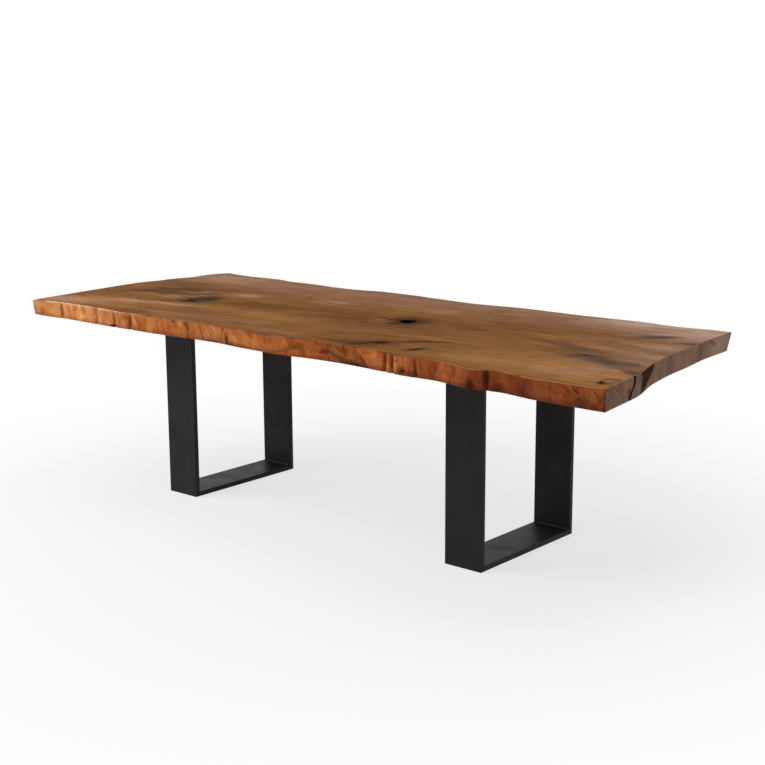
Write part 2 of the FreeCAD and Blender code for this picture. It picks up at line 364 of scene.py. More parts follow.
def rim_relief(sides, points, height):
    """How far each rim point stands proud of the plain outline."""
    parts = [noise_at(points, scale, seed) * rise for scale, seed, rise in (SWELL, RIPPLE, FINE)]
    swell, ripple, fine = parts
    live = np.isin(sides, LIVE_SIDES)
    relief = np.where(live, swell + ripple + fine, SAWN_RIPPLE * ripple + SAWN_FINE * fine)
    relief = np.where(sides == "crack", CRACK_RIPPLE * ripple, relief)
    for side, grooves in (("near", NEAR_GROOVES), ("far", FAR_GROOVES)):
        relief = relief + np.where(sides == side, groove_relief(grooves, points[..., 0], height), 0)
    return relief


# Rim rows, and columns either side of the crack and the corners, that are smoothed so that they never cross
EASED_ROWS = 3
EASED_REACH = 2

# Rounds that blend the eased edges of neighbouring sides, and how much of a corner its rounding takes
ARRIS_ROUNDS = 4
CORNER_CUT = 0.29


def blurred(values, axis=0):
    """Values around a closed ring, each drawn towards its neighbours."""
    return (np.roll(values, 1, axis) + 2 * values + np.roll(values, -1, axis)) / 4


def build_rim():
    """Rim vertices as an array of row, column and place, and the side of each column."""
    sides, t = [np.array(values) for values in zip(*rim_layout())]
    crack = sides == "crack"
    corner = (t == 0) & np.isin(sides, CORNER_SIDES)
    radius_top = np.where(sides == "near", between(NEAR_ARRIS_LEFT, NEAR_ARRIS_RIGHT, t), END_ARRIS)
    radius_low = np.where(np.isin(sides, LIVE_SIDES), LOWER_ARRIS, END_ARRIS)
    radii = [np.where(crack, CRACK_ARRIS, radius) for radius in (radius_top, radius_low)]
    for _ in range(ARRIS_ROUNDS):
        radii = [blurred(radius) for radius in radii]
    heights, insets = rim_rows(*radii)
    share = heights / THICKNESS
    plan = np.zeros((*heights.shape, 2))
    for c, side in enumerate(sides):
        h = share[:, c]
        lips = crack_levels(h)
        if side == "right_near":
            plan[:, c] = side_points("right", t[c], h, end=lips[0][:, 1])
        elif side == "right_far":
            plan[:, c] = side_points("right", t[c], h, start=lips[2][:, 1])
        elif side == "crack":
            plan[:, c] = crack_column(t[c], h, *lips)
        else:
            plan[:, c] = side_points(side, t[c], h)
    tangent = np.roll(plan, -1, axis=1) - np.roll(plan, 1, axis=1)
    outward = np.stack([tangent[..., 1], -tangent[..., 0]], axis=-1)
    outward /= np.linalg.norm(outward, axis=-1, keepdims=True)
    place = np.concatenate([plan, (UNDERSIDE + heights)[..., None]], axis=-1)
    gaps = [np.linalg.norm(plan - plan[:, [c]], axis=-1) for c in np.flatnonzero(corner)]
    rounded = np.clip(1 - np.min(gaps, axis=0) / CORNER_ROUNDING, 0, 1) ** 2
    rounding = CORNER_CUT * CORNER_ROUNDING * rounded
    proud = rim_relief(np.broadcast_to(sides, heights.shape), place, share)
    place[..., :2] += outward * (proud - insets - rounding)[..., None]
    eased = crack | corner
    eased = np.any([np.roll(eased, step) for step in range(-EASED_REACH, EASED_REACH + 1)], axis=0)
    smooth = blurred(place, axis=1)
    for rows in (slice(0, EASED_ROWS), slice(-EASED_ROWS, None)):
        place[rows, eased] = smooth[rows, eased]
    return place, sides


def inside(points, loop):
    """Whether each point lies inside a closed loop."""
    x, y = points[:, :1], points[:, 1:2]
    ax, ay = loop.T
    bx, by = np.roll(loop, -1, axis=0).T
    spans = (ay > y) != (by > y)
    rise = np.where(by == ay, 1.0, by - ay)
    return (spans & (x < ax + (y - ay) / rise * (bx - ax))).sum(axis=1) % 2 == 1


def clear_of(points, loop, margin):
    """Whether each point keeps a margin from a closed loop's points."""
    gap = np.linalg.norm(points[:, None] - loop[None], axis=2).min(axis=1)
    return gap > margin


def cap_faces(outline, holes):
    """Points and triangles that fill an outline around its holes. The loops' points come first, in order."""
    axes = [np.arange(a, b, CAP_GRID) for a, b in zip(outline.min(axis=0), outline.max(axis=0))]
    grid = np.stack(np.meshgrid(*axes), axis=-1).reshape(-1, 2)
    grid = grid[inside(grid, outline) & clear_of(grid, outline, CAP_MARGIN)]
    for hole in holes:
        grid = grid[~inside(grid, hole) & clear_of(grid, hole, HOLE_MARGIN)]
    loops = [outline, *holes]
    points = np.concatenate([*loops, grid])
    edges = []
    start = 0
    for loop in loops:
        size = len(loop)
        edges += [(start + i, start + (i + 1) % size) for i in range(size)]
        start += size
    made = delaunay_2d_cdt([Vector(p) for p in points], edges, [], 0, CAP_SLACK)
    places = np.array([list(p) for p in made[0]])
    faces = np.array(made[2])
    middle = places[faces].mean(axis=1)
    keep = inside(middle, outline)
    for hole in holes:
        keep &= ~inside(middle, hole)
    origin = [min(ids) if ids else -1 for ids in made[3]]
    return places, faces[keep], origin


# Materials of the slab's faces
TOP_WOOD, ARRIS, NEAR_WOOD, FAR_WOOD, END_WOOD, LOW_WOOD, CRACK_WALL, KNOT_CAVITY = range(8)
SIDE_WOOD = {
    "near": NEAR_WOOD,
    "far": FAR_WOOD,
    "left": END_WOOD,
    "right_near": END_WOOD,
    "right_far": END_WOOD,
    "crack": CRACK_WALL,
}

# Each knot, by the fill that sits in it. Its shape: how far the fill lies below the top, how uneven the fill
# and how ragged the wall is, the share of the pocket that is open at the top, and the wall's material. Its
# looks: the stain around it, as tint, half length, half width, turn and strength, then the fill's tones, the
# depth below which a painted shade turns the fill black, and the tone of its rim.
KNOTS = {
    "knot_fill_left": {
        "drop": 0.0006,
        "uneven": 0.0005,
        "ragged": 1.0,
        "open": 1.0,
        "wall": TOP_WOOD,
        "stain": ((60, 50, 36), 0.138, 0.108, 80, 0.88),
        # The left fill's grey-green tones are partly its own colour and partly a painted sheen
        "tones": ((0.30, 38, 34, 24), (0.50, 62, 56, 42), (0.72, 90, 84, 64)),
        "painted_shade_below": 0.002,
        "rim": (72, 58, 42),
    },
    "knot_fill_centre": {
        "drop": 0.008,
        "uneven": 0.0025,
        "ragged": 2.2,
        "open": 1.0,
        "wall": KNOT_CAVITY,
        "stain": ((64, 42, 22), 0.145, 0.105, -42, 0.9),
        "tones": ((0.30, 6, 5, 4), (0.50, 12, 10, 8), (0.72, 24, 19, 14)),
        "painted_shade_below": 0.02,
        "rim": (18, 13, 9),
    },
    "knot_fill_corner": {
        "drop": 0.004,
        "uneven": 0.0012,
        "ragged": 1.5,
        "open": 0.5,
        "wall": KNOT_CAVITY,
        "stain": ((70, 48, 28), 0.036, 0.020, 105, 0.5),
        "tones": ((0.30, 16, 12, 9), (0.50, 34, 26, 20), (0.72, 56, 44, 34)),
        "painted_shade_below": 0.02,
        "rim": (40, 28, 20),
    },
}

# Points of a ring around a knot, and the scale, seed and share of the ring's long and short waves
KNOT_COLUMNS = 72
KNOT_WAVES = ((2.2, 0.0, 0.7), (6, 4.0, 0.3))
knot_angles = np.linspace(0, 2 * math.pi, KNOT_COLUMNS, endpoint=False)
compass = np.stack([np.cos(knot_angles), np.sin(knot_angles)], axis=-1)

# Places times this give seeds far enough apart
SEED_SPREAD = 10


def knot_pockets():
    """Centre of each knot pocket, and its radius at evenly spread angles, by the fill that sits in it."""
    found = {}
    for loop in loops_at(SLAB, TOP)[1:]:
        for fill in KNOTS:
            low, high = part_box(fill)
            middle = np.array([(low.x + high.x) / 2, (low.y + high.y) / 2])
            if inside(middle[None], loop)[0]:
                centre = loop.mean(axis=0)
                arm = loop - centre
                turn = np.arctan2(arm[:, 1], arm[:, 0])
                radius = np.interp(knot_angles, turn, np.linalg.norm(arm, axis=1), period=2 * math.pi)
                found[fill] = {"centre": centre.tolist(), "radius": radius}
    return found


pockets = knot_pockets()


def knot_ring(fill, share, ragged, level):
    """Ring of points around a knot at a share of its radius, made uneven, at one level."""
    centre, radius = pockets[fill]["centre"], pockets[fill]["radius"]
    spots = np.column_stack([compass, np.full(KNOT_COLUMNS, SEED_SPREAD * centre[0])])
    uneven = sum(noise_at(spots, (scale, scale, 1), seed) * part for scale, seed, part in KNOT_WAVES)
    plan = centre + compass * (radius * (share + ragged * uneven))[:, None]
    return np.column_stack([plan, np.full(KNOT_COLUMNS, level)])


# Walls of a knot, from its rim down: share of the radius, unevenness, and share of the way to the resin
KNOT_WALL = [
    (1.02, 0.09, 0.0),
    (0.995, 0.09, 0.06),
    (0.97, 0.085, 0.4),
    (0.94, 0.06, 0.75),
    (0.91, 0.03, 1.0),
]
WALL_FOOT = 0.0008


def knot_walls(fill):
    """Rings of a knot's ragged wall, from the rim on the top down into the resin, then of its pocket."""
    knot = KNOTS[fill]
    rings = []
    for share, ragged, down in KNOT_WALL:
        level = TOP - down * (knot["drop"] + WALL_FOOT)
        rings.append(knot_ring(fill, share * knot["open"], ragged * knot["ragged"], level))
    for foot in (level - WALL_FOOT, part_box(fill)[0].z):
        rings.append(knot_ring(fill, 1.0, 0.0, foot))
    return rings


class MeshMaker:
    """Collects vertices and faces of one mesh, each face with its material."""

    def __init__(self):
        self.places = []
        self.faces = []
        self.materials = []
        self.smooth = []

    def add_points(self, points):
        start = len(self.places)
        self.places += [tuple(p) for p in points]
        return list(range(start, start + len(points)))

    def add_face(self, corners, material, smooth=True):
        self.faces.append(tuple(corners))
        self.materials.append(material)
        self.smooth.append(smooth)

    def add_band(self, first, second, material, flat_from=None):
        """Faces between two rings, smooth up to the place where they turn flat."""
        following = zip(first[1:] + first[:1], second[1:] + second[:1])
        for i, (first_next, second_next) in enumerate(following):
            smooth = flat_from is None or i < flat_from
            self.add_face((first[i], first_next, second_next, second[i]), material, smooth)

    def add_fan(self, ring, middle, material, smooth=True):
        """Faces from a ring to a point in its middle."""
        tip = self.add_points([middle])[0]
        for here, following in zip(ring, ring[1:] + ring[:1]):
            self.add_face((here, following, tip), material, smooth)

    def finish(self, name, materials):
        mesh = bpy.data.meshes.new(name)
        mesh.from_pydata(self.places, [], self.faces)
        for material in materials:
            mesh.materials.append(material)
        mesh.polygons.foreach_set("material_index", self.materials)
        mesh.polygons.foreach_set("use_smooth", self.smooth)
        mesh.update()
        piece = bpy.data.objects.new(name, mesh)
        bpy.context.scene.collection.objects.link(piece)
        return piece


def add_cap(maker, ring, ring_ids, holes, level, material, upward):
    """Fills one flat cap of the slab between its ring and the holes, which are pairs of points and ids."""
    places, faces, origin = cap_faces(ring[:, :2], [points[:, :2] for points, _ in holes])
    known = [*ring_ids]
    for _, ids in holes:
        known += ids
    lookup = {}
    for i, source in enumerate(origin):
        if 0 <= source < len(known):
            lookup[i] = known[source]
        else:
            lookup[i] = maker.add_points([(*places[i], level)])[0]
    for face in faces:
        a, b, c = [places[i] for i in face]
        facing_up = (b[0] - a[0]) * (c[1] - a[1]) - (b[1] - a[1]) * (c[0] - a[0]) > 0
        corners = [lookup[i] for i in face]
        maker.add_face(corners if facing_up == upward else corners[::-1], material, smooth=False)


def build_slab(materials):
    """The whole slab as one closed mesh."""
    maker = MeshMaker()
    rim, sides = build_rim()
    rows, columns = rim.shape[:2]
    ids = np.array([maker.add_points(row) for row in rim])
    for r in range(rows - 1):
        for c in range(columns):
            n = (c + 1) % columns
            wood = SIDE_WOOD[sides[c]]
            if r < ARRIS_ROWS - 1 and sides[c] in LIVE_SIDES:
                wood = ARRIS
            maker.add_face((ids[r, c], ids[r + 1, c], ids[r + 1, n], ids[r, n]), wood)
    holes = []
    for fill, knot in KNOTS.items():
        rings = knot_walls(fill)
        ring_ids = [maker.add_points(ring) for ring in rings]
        for level, (upper, lower) in enumerate(zip(ring_ids, ring_ids[1:])):
            maker.add_band(upper, lower, knot["wall"] if level < len(KNOT_WALL) - 1 else KNOT_CAVITY)
        middle = (*pockets[fill]["centre"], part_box(fill)[0].z)
        maker.add_fan(ring_ids[-1], middle, KNOT_CAVITY, smooth=False)
        holes.append((rings[0], ring_ids[0]))
    add_cap(maker, rim[0], list(ids[0]), holes, TOP, TOP_WOOD, upward=True)
    add_cap(maker, rim[-1], list(ids[-1]), [], UNDERSIDE, LOW_WOOD, upward=False)
    return maker.finish("slab", materials)


# Rings of a fill's top as shares of its radius, and the noise scale of its unevenness
FILL_RINGS = (0.985, 0.93, 0.85, 0.75, 0.64, 0.52, 0.40, 0.28, 0.16, 0.06)
FILL_WAVES = (60, 60, 1)

# Hole at the near tip of the left knot: centre, radius, depth, and how its rim and its walls run
LEFT_PIT = (-0.803, -0.128)
LEFT_PIT_RADIUS = 0.028
LEFT_PIT_DEPTH = 0.013
LEFT_PIT_RAGGED = 0.25
LEFT_PIT_WAVES = (90, 90, 1)
LEFT_PIT_SEED = 2.0
LEFT_PIT_LIP = 1.15
LEFT_PIT_STEEP = 0.7


def build_fill(fill, material):
    """Fill of one knot: a closed body with an uneven top, in its packed pocket."""
    knot, centre = KNOTS[fill], pockets[fill]["centre"]
    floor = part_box(fill)[0].z
    maker = MeshMaker()
    rings = []
    for share in FILL_RINGS:
        spots = knot_ring(fill, share, 0.0, 0.0)
        sink = knot["drop"] + knot["uneven"] * (1 + noise_at(spots, FILL_WAVES))
        if fill == "knot_fill_left":
            reach = np.linalg.norm(spots[:, :2] - LEFT_PIT, axis=1) / LEFT_PIT_RADIUS
            reach = reach + LEFT_PIT_RAGGED * noise_at(spots, LEFT_PIT_WAVES, LEFT_PIT_SEED)
            sink = sink + LEFT_PIT_DEPTH * np.clip(LEFT_PIT_LIP - reach, 0, 1) ** LEFT_PIT_STEEP
        spots[:, 2] = TOP - sink
        rings.append(maker.add_points(spots))
    foot = maker.add_points(knot_ring(fill, FILL_RINGS[0], 0.0, floor))
    for outer, inner in zip([foot, *rings], rings):
        maker.add_band(outer, inner, 0)
    maker.add_fan(rings[-1], (*centre, spots[0, 2]), 0)
    maker.add_fan(foot[::-1], (*centre, floor), 0, smooth=False)
    return maker.finish(fill + "_body", [material])


# Weld beads: bulge, height, pitch and sweep of the ripples, length of the rounded ends and their least size,
# and unevenness with its noise scale
WELD_BULGE = 0.0007
WELD_RIPPLE = 0.0009
WELD_PITCH = 0.0055
WELD_SWEEP = 0.003
WELD_END = 0.004
WELD_TIP = 0.06
WELD_UNEVEN = 0.07
WELD_WAVES = (110, 1, 1)

# How finely a bead is divided, along it and across it
WELD_STEP = 0.001
WELD_ARC = 8


def bead_shape(low, high, leg, seed):
    """Places along a weld bead, and how far its arc and then its root stand from the corner."""
    run = np.linspace(low, high, round((high - low) / WELD_STEP) + 1)
    arc = np.linspace(0, 1, WELD_ARC + 1)
    crown = np.sin(math.pi * arc)
    phase = (run[:, None] + WELD_SWEEP * crown) / WELD_PITCH
    rise = (WELD_BULGE + WELD_RIPPLE * np.abs(np.sin(math.pi * phase))) * crown
    ends = np.clip(np.minimum(run - low, high - run) / WELD_END, WELD_TIP, 1)
    spots = np.stack([run, np.zeros_like(run), np.zeros_like(run)], axis=-1)
    size = np.sqrt(1 - (1 - ends) ** 2) * (1 + WELD_UNEVEN * noise_at(spots, WELD_WAVES, seed))
    across, up = [size[:, None] * (leg * share + rise) for share in (1 - arc, arc)]
    return run, np.pad(across, ((0, 0), (0, 1))), np.pad(up, ((0, 0), (0, 1)))


def build_welds(node, name, material):
    """Rippled weld beads in the four inside corners of a loop, each a closed body."""
    low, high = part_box(node)
    levels = sorted({round(v.co.y, PLACE_DIGITS) for v in frame["nodes"][node].data.vertices})
    leg = levels[1] - levels[0]
    maker = MeshMaker()
    for y, step_y in ((low.y, 1), (high.y, -1)):
        for z, step_z in ((low.z, 1), (high.z, -1)):
            run, across, up = bead_shape(low.x, high.x, leg, SEED_SPREAD * (y + z))
            along = np.broadcast_to(run[:, None], across.shape)
            places = np.stack([along, y + step_y * across, z + step_z * up], axis=-1)
            rings = [maker.add_points(ring) for ring in places]
            turn = step_y * step_z
            for pair in zip(rings, rings[1:]):
                maker.add_band(*pair[::turn], 0, flat_from=WELD_ARC)
            maker.add_face(rings[0][::-turn], 0, smooth=False)
            maker.add_face(rings[-1][::turn], 0, smooth=False)
    return maker.finish(name, [material])


# Range of a noise over which a surface goes from its roughest to its smoothest
WEAR_RANGE = (0.3, 0.7)


class Graph:
    """Node graph, made by short calls that return sockets."""

    def __init__(self, tree):
        self.tree = tree

    def feed(self, socket, value):
        if isinstance(value, bpy.types.NodeSocket):
            self.tree.links.new(value, socket)
        else:
            socket.default_value = value

    def node(self, kind, inputs=None, **settings):
        made = self.tree.nodes.new(kind)
        for name, value in settings.items():
            setattr(made, name, value)
        for name, value in (inputs or {}).items():
            self.feed(made.inputs[name], value)
        return made

    def math(self, operation, first, second=0.0):
        return self.node("ShaderNodeMath", {0: first, 1: second}, operation=operation).outputs[0]

    def seen(self):
        """1 for rays that are seen, straight, in a gloss or through glass, and 0 for the others."""
        rays = self.node("ShaderNodeLightPath").outputs
        seen = rays["Is Camera Ray"]
        for kind in ("Is Glossy Ray", "Is Transmission Ray"):
            seen = self.math("MAXIMUM", seen, rays[kind])
        return seen


class Shader(Graph):
    """Node graph of one material. Colours of ramps are screen colours."""

    def __init__(self, name):
        self.material = bpy.data.materials.new(name)
        self.material.use_nodes = True
        super().__init__(self.material.node_tree)
        self.surface = self.tree.nodes["Principled BSDF"]
        self.here = self.node("ShaderNodeTexCoord").outputs["Object"]

    def vector(self, operation, first, second):
        return self.node("ShaderNodeVectorMath", {0: first, 1: second}, operation=operation).outputs[0]

    def mix(self, share, first, second, blend="MIX"):
        inputs = {0: share, 6: first, 7: second}
        return self.node("ShaderNodeMix", inputs, data_type="RGBA", blend_type=blend).outputs[2]

    def axis(self, name, base=0.0):
        place = self.node("ShaderNodeSeparateXYZ", {0: self.here}).outputs[name]
        return self.math("SUBTRACT", place, base)

    def plane(self, first, second, base=0.0):
        """Flat coordinates from two axes, the second counted from a base."""
        inputs = {"X": self.axis(first), "Y": self.axis(second, base)}
        return self.node("ShaderNodeCombineXYZ", inputs).outputs[0]

    def scaled(self, vector, scale, turn=0.0):
        inputs = {"Vector": vector, "Scale": scale, "Rotation": (0.0, 0.0, math.radians(turn))}
        return self.node("ShaderNodeMapping", inputs).outputs[0]

    def noise(self, vector, scale, detail, roughness, distortion=0.0, output=0):
        inputs = {"Vector": vector, "Scale": scale, "Detail": detail}
        inputs |= {"Roughness": roughness, "Distortion": distortion}
        return self.node("ShaderNodeTexNoise", inputs).outputs[output]

    def grain(self, vector, scale, *settings, turn=0.0):
        """Noise that is stretched along its axes, and turned."""
        return self.noise(self.scaled(vector, scale, turn), 1.0, *settings)

    def remap(self, value, low, high, to_low=0.0, to_high=1.0):
        inputs = {"Value": value, "From Min": low, "From Max": high, "To Min": to_low, "To Max": to_high}
        return self.node("ShaderNodeMapRange", inputs, interpolation_type="SMOOTHSTEP").outputs[0]

    def ramp(self, value, *stops):
        """Colour by a value, from stops of a position and a colour."""
        made = self.node("ShaderNodeValToRGB", {"Fac": value})
        elements = made.color_ramp.elements
        while len(elements) < len(stops):
            elements.new(1.0)
        for element, (position, *shade) in zip(elements, stops):
            element.position = position
            element.color = colour(*shade)
        return made.outputs[0]

    def along_x(self, stops):
        """Colour by the place along the slab, from stops in metres."""
        low, high = stops[0][0], stops[-1][0]
        inputs = {"Value": self.axis("X"), "From Min": low, "From Max": high}
        share = self.node("ShaderNodeMapRange", inputs).outputs[0]
        return self.ramp(share, *[((x - low) / (high - low), *shade) for x, *shade in stops])

    def veil(self, shade, share, value, *stops):
        """A shade darkened by a share of a ramp."""
        return self.mix(share, shade, self.ramp(value, *stops), "MULTIPLY")

    def wander(self, vector, scale, reach, stretch=(1.0, 1.0, 1.0)):
        """Coordinates pushed about by noise, so that what is painted with them has natural edges."""
        push = self.noise(self.scaled(vector, stretch), scale, 3.0, 0.5, output=1)
        push = self.vector("SUBTRACT", push, (0.5, 0.5, 0.5))
        return self.vector("ADD", vector, self.vector("MULTIPLY", push, reach))

    def patch(self, vector, x, y, half_length, half_width, turn, core):
        """Soft oval mask on flat coordinates: 1 in its core, 0 at its rim."""
        oval = self.node("ShaderNodeTexGradient", {"Vector": vector}, gradient_type="SPHERICAL")
        oval.texture_mapping.vector_type = "TEXTURE"
        oval.texture_mapping.translation = (x, y, 0.0)
        oval.texture_mapping.rotation = (0.0, 0.0, math.radians(turn))
        oval.texture_mapping.scale = (half_length, half_width, 1.0)
        return self.remap(oval.outputs["Fac"], 0.0, 1.0 - core)

    def paint(self, shade, tint, vector, ovals, core, blend="MIX"):
        """Lays a tint over a shade in soft ovals, each with its place, half sizes, turn and strength."""
        total = None
        for *oval, strength in ovals:
            mask = self.math("MULTIPLY", self.patch(vector, *oval, core), strength)
            total = mask if total is None else self.math("MAXIMUM", total, mask)
        return self.mix(total, shade, tint, blend)

    def spread(self, vector, centre, reach, pull):
        """Coordinates whose grain lines part around a knot."""
        mask = self.patch(vector, *centre, reach, reach, 0.0, 0.0)
        arm = self.vector("SUBTRACT", vector, (*centre, 0.0))
        shift = self.vector("MULTIPLY", arm, (0.0, -pull, 0.0))
        scaled = self.node("ShaderNodeVectorMath", {0: shift, "Scale": mask}, operation="SCALE").outputs[0]
        return self.vector("ADD", vector, scaled)

    def bump(self, height, distance, fine=None, share=0.0):
        """Relief from a noise, with a share of a finer one on top."""
        if fine is not None:
            height = self.math("ADD", height, self.math("MULTIPLY", fine, share))
        normal = self.node("ShaderNodeBump", {"Height": height, "Distance": distance}).outputs[0]
        self.feed(self.surface.inputs["Normal"], normal)

    def finish(self, **values):
        for name, value in values.items():
            self.feed(self.surface.inputs[name.replace("_", " ")], value)
        return self.material

    def worn(self, shade, wear, rough, smooth, **values):
        """Finishes the material with a colour, and a roughness that follows a noise."""
        roughness = self.remap(wear, *WEAR_RANGE, rough, smooth)
        return self.finish(Base_Color=shade, Roughness=roughness, **values)


# Painted figure of the slab's top: x, y, half length, half width, turn in degrees, strength
TOP_DEEP = [
    (-1.05, 0.06, 0.26, 0.13, 20, 1.0),
    (0.36, -0.13, 0.22, 0.12, 10, 0.6),
    (-0.52, -0.07, 0.42, 0.12, 6, 0.75),
    (0.0, -0.05, 0.34, 0.14, -10, 0.75),
    (0.2, -0.12, 0.26, 0.1, 12, 0.7),
    (0.42, 0.06, 0.5, 0.18, 5, 0.3),
    (0.62, 0.18, 0.6, 0.12, 4, 0.35),
    (0.36, -0.42, 0.22, 0.13, 30, 0.8),
    (-0.84, -0.18, 0.2, 0.06, 15, 0.6),
    (0.66, -0.3, 0.26, 0.16, 10, 0.55),
    (0.29, -0.3, 0.22, 0.09, 20, 0.35),
    (-0.2, 0.02, 0.22, 0.08, 30, 0.35),
]
TOP_DUSK = [
    (-1.2, 0.16, 0.22, 0.13, 20, 0.8),
    (-1.2, -0.1, 0.16, 0.09, 25, 0.6),
    (-0.98, -0.04, 0.2, 0.11, 25, 0.85),
    (-0.76, 0.16, 0.4, 0.1, 5, 0.5),
]
TOP_GOLD = [
    (-0.35, -0.22, 0.55, 0.1, -2, 0.6),
    (0.6, -0.24, 0.6, 0.14, -4, 0.25),
    (1.0, -0.38, 0.6, 0.26, -4, 0.9),
    (1.25, -0.42, 0.34, 0.24, 0, 0.9),
    (-1.05, -0.36, 0.5, 0.16, 6, 0.6),
    (0.85, 0.05, 0.35, 0.08, 0, 0.5),
    (0.965, 0.092, 0.05, 0.03, 40, 0.7),
    (0.146, -0.03, 0.05, 0.026, 40, 0.8),
    (0.085, -0.035, 0.08, 0.024, 22, 0.5),
]
# Tan streaks and spots, partly pale wood and partly painted sheen
TOP_TAN_AND_SHEEN = [
    (-0.93, -0.093, 0.11, 0.04, 40, 0.55),
    (-1.1, -0.11, 0.08, 0.03, 38, 0.45),
    (-0.845, 0.006, 0.05, 0.022, 45, 0.4),
    (-0.72, 0.105, 0.18, 0.07, 33, 0.5),
    (-0.63, -0.41, 0.12, 0.1, 40, 0.2),
    (-0.32, 0.185, 0.11, 0.065, 40, 0.5),
    (0.2, 0.26, 0.1, 0.07, 40, 0.3),
    (0.0, -0.44, 0.25, 0.08, 0, 0.15),
    (-0.87, -0.258, 0.3, 0.06, 11, 0.65),
    (-1.22, -0.42, 0.3, 0.15, 25, 0.5),
    (-1.15, 0.42, 0.4, 0.18, 0, 0.35),
    (-0.52, -0.39, 0.22, 0.09, 20, 0.22),
    (-0.3, -0.37, 0.22, 0.08, 20, 0.2),
]
# Pale patches, partly pale sapwood and partly painted sheen, most of it towards the far side
TOP_PALE_AND_SHEEN = [
    (-0.938, 0.046, 0.08, 0.036, 45, 0.65),
    (1.23, 0.49, 0.44, 0.34, 30, 0.85),
    (1.2, -0.31, 0.15, 0.06, -20, 0.4),
    (0.95, 0.49, 0.5, 0.22, 0, 0.85),
    (1.0, 0.14, 0.3, 0.1, 0, 0.12),
    (1.22, -0.05, 0.18, 0.11, -10, 0.5),
    (1.22, 0.12, 0.22, 0.15, 0, 0.5),
    (1.255, -0.297, 0.06, 0.012, -20, 0.5),
    (1.27, -0.15, 0.16, 0.11, -20, 0.4),
    (1.06, 0.0, 0.16, 0.07, 0, 0.3),
    (1.16, -0.38, 0.2, 0.1, 10, 0.25),
]
# Painted sheen over the far right corner and along the far edge
TOP_FAR_SHEEN = [
    (1.24, 0.48, 0.32, 0.22, 30, 0.4),
    (1.0, 0.5, 0.3, 0.1, 0, 0.4),
]
TOP_SMOKE = [
    (-0.87, 0.032, 0.12, 0.045, 35, 0.75),
    (0.82, -0.012, 0.12, 0.04, -10, 0.45),
    (0.95, -0.052, 0.17, 0.046, -18, 0.7),
    (1.05, -0.075, 0.08, 0.03, -18, 0.5),
    (1.03, -0.185, 0.07, 0.04, 20, 0.7),
    (1.08, -0.165, 0.09, 0.046, 0, 0.8),
    (1.15, -0.205, 0.13, 0.058, -20, 0.8),
    (1.225, -0.205, 0.09, 0.044, -10, 0.75),
    (1.315, -0.311, 0.06, 0.022, -18, 0.8),
    (1.07, 0.273, 0.12, 0.05, 37, 0.8),
    (1.21, 0.224, 0.06, 0.022, 0, 0.8),
    (-0.02, -0.49, 0.18, 0.03, 0, 0.5),
]
TOP_UMBER = [
    (0.02, -0.065, 0.1, 0.016, 24, 0.6),
    (0.1, 0.006, 0.08, 0.014, -18, 0.6),
    (0.262, 0.046, 0.07, 0.02, 35, 0.55),
    (0.206, -0.056, 0.05, 0.022, 38, 0.6),
    (0.586, -0.396, 0.03, 0.012, 0, 0.7),
    (0.372, -0.445, 0.07, 0.022, 50, 0.7),
    (0.413, -0.383, 0.08, 0.05, 40, 0.85),
    (0.445, -0.37, 0.05, 0.02, 25, 0.6),
    (0.505, -0.288, 0.1, 0.03, 35, 0.9),
    (0.56, -0.252, 0.07, 0.026, 38, 0.8),
    (0.585, -0.405, 0.07, 0.036, 70, 0.9),
    (-1.155, -0.05, 0.09, 0.05, 30, 0.6),
    (1.318, -0.432, 0.042, 0.014, 37, 0.85),
    (1.333, -0.498, 0.04, 0.014, 58, 0.85),
    (1.341, -0.442, 0.036, 0.011, 97, 0.65),
    (1.075, 0.275, 0.07, 0.018, 37, 0.4),
    (1.065, -0.152, 0.06, 0.02, 10, 0.7),
    (1.15, -0.2, 0.07, 0.02, -20, 0.4),
]
TOP_INK = [
    (0.419, -0.38, 0.044, 0.028, 40, 1.0),
    (0.5, -0.29, 0.05, 0.012, 35, 0.5),
    (0.583, -0.41, 0.046, 0.016, 75, 0.8),
    (-0.786, -0.143, 0.05, 0.046, 45, 1.0),
    (0.18, 0.004, 0.028, 0.014, 40, 0.9),
    (0.236, 0.038, 0.03, 0.012, 40, 0.8),
    (1.3155, -0.485, 0.03, 0.01, 111, 1.0),
    (0.225, -0.052, 0.06, 0.026, 35, 0.7),
    (0.9, -0.505, 0.015, 0.008, 0, 0.5),
]

# Layers that feather along the grain, from the lowest up: tint, ovals, and the share of an oval that is core
# The tan and pale layers are partly painted sheen, and the last layer is painted sheen only
TOP_LAYERS = [
    (colour(114, 82, 64), TOP_DUSK, 0.1),
    (colour(104, 66, 36), TOP_DEEP, 0.1),
    (colour(185, 132, 84), TOP_GOLD, 0.0),
    (colour(214, 172, 142), TOP_TAN_AND_SHEEN, 0.0),
    (colour(210, 175, 154), TOP_PALE_AND_SHEEN, 0.0),
    (colour(228, 199, 183), TOP_FAR_SHEEN, 0.0),
]

# How the umber and inky marks in the top shade the wood under them, channel by channel
UMBER = (0.38, 0.38, 0.40, 1.0)
INK = (0.20, 0.16, 0.14, 1.0)

# Heartwood ends at a curved line near the right end: its crest, how fast it falls away, how soft it is, how
# far it fades, and where along the slab it sets in and how strongly
HEART_CREST = (1.04, -0.226)
HEART_FALL = 1.5
HEART_SOFT = (-0.006, 0.010)
HEART_FADE = 0.20
HEART_ONSET = (0.90, 1.06)
HEART_STRENGTH = 0.75


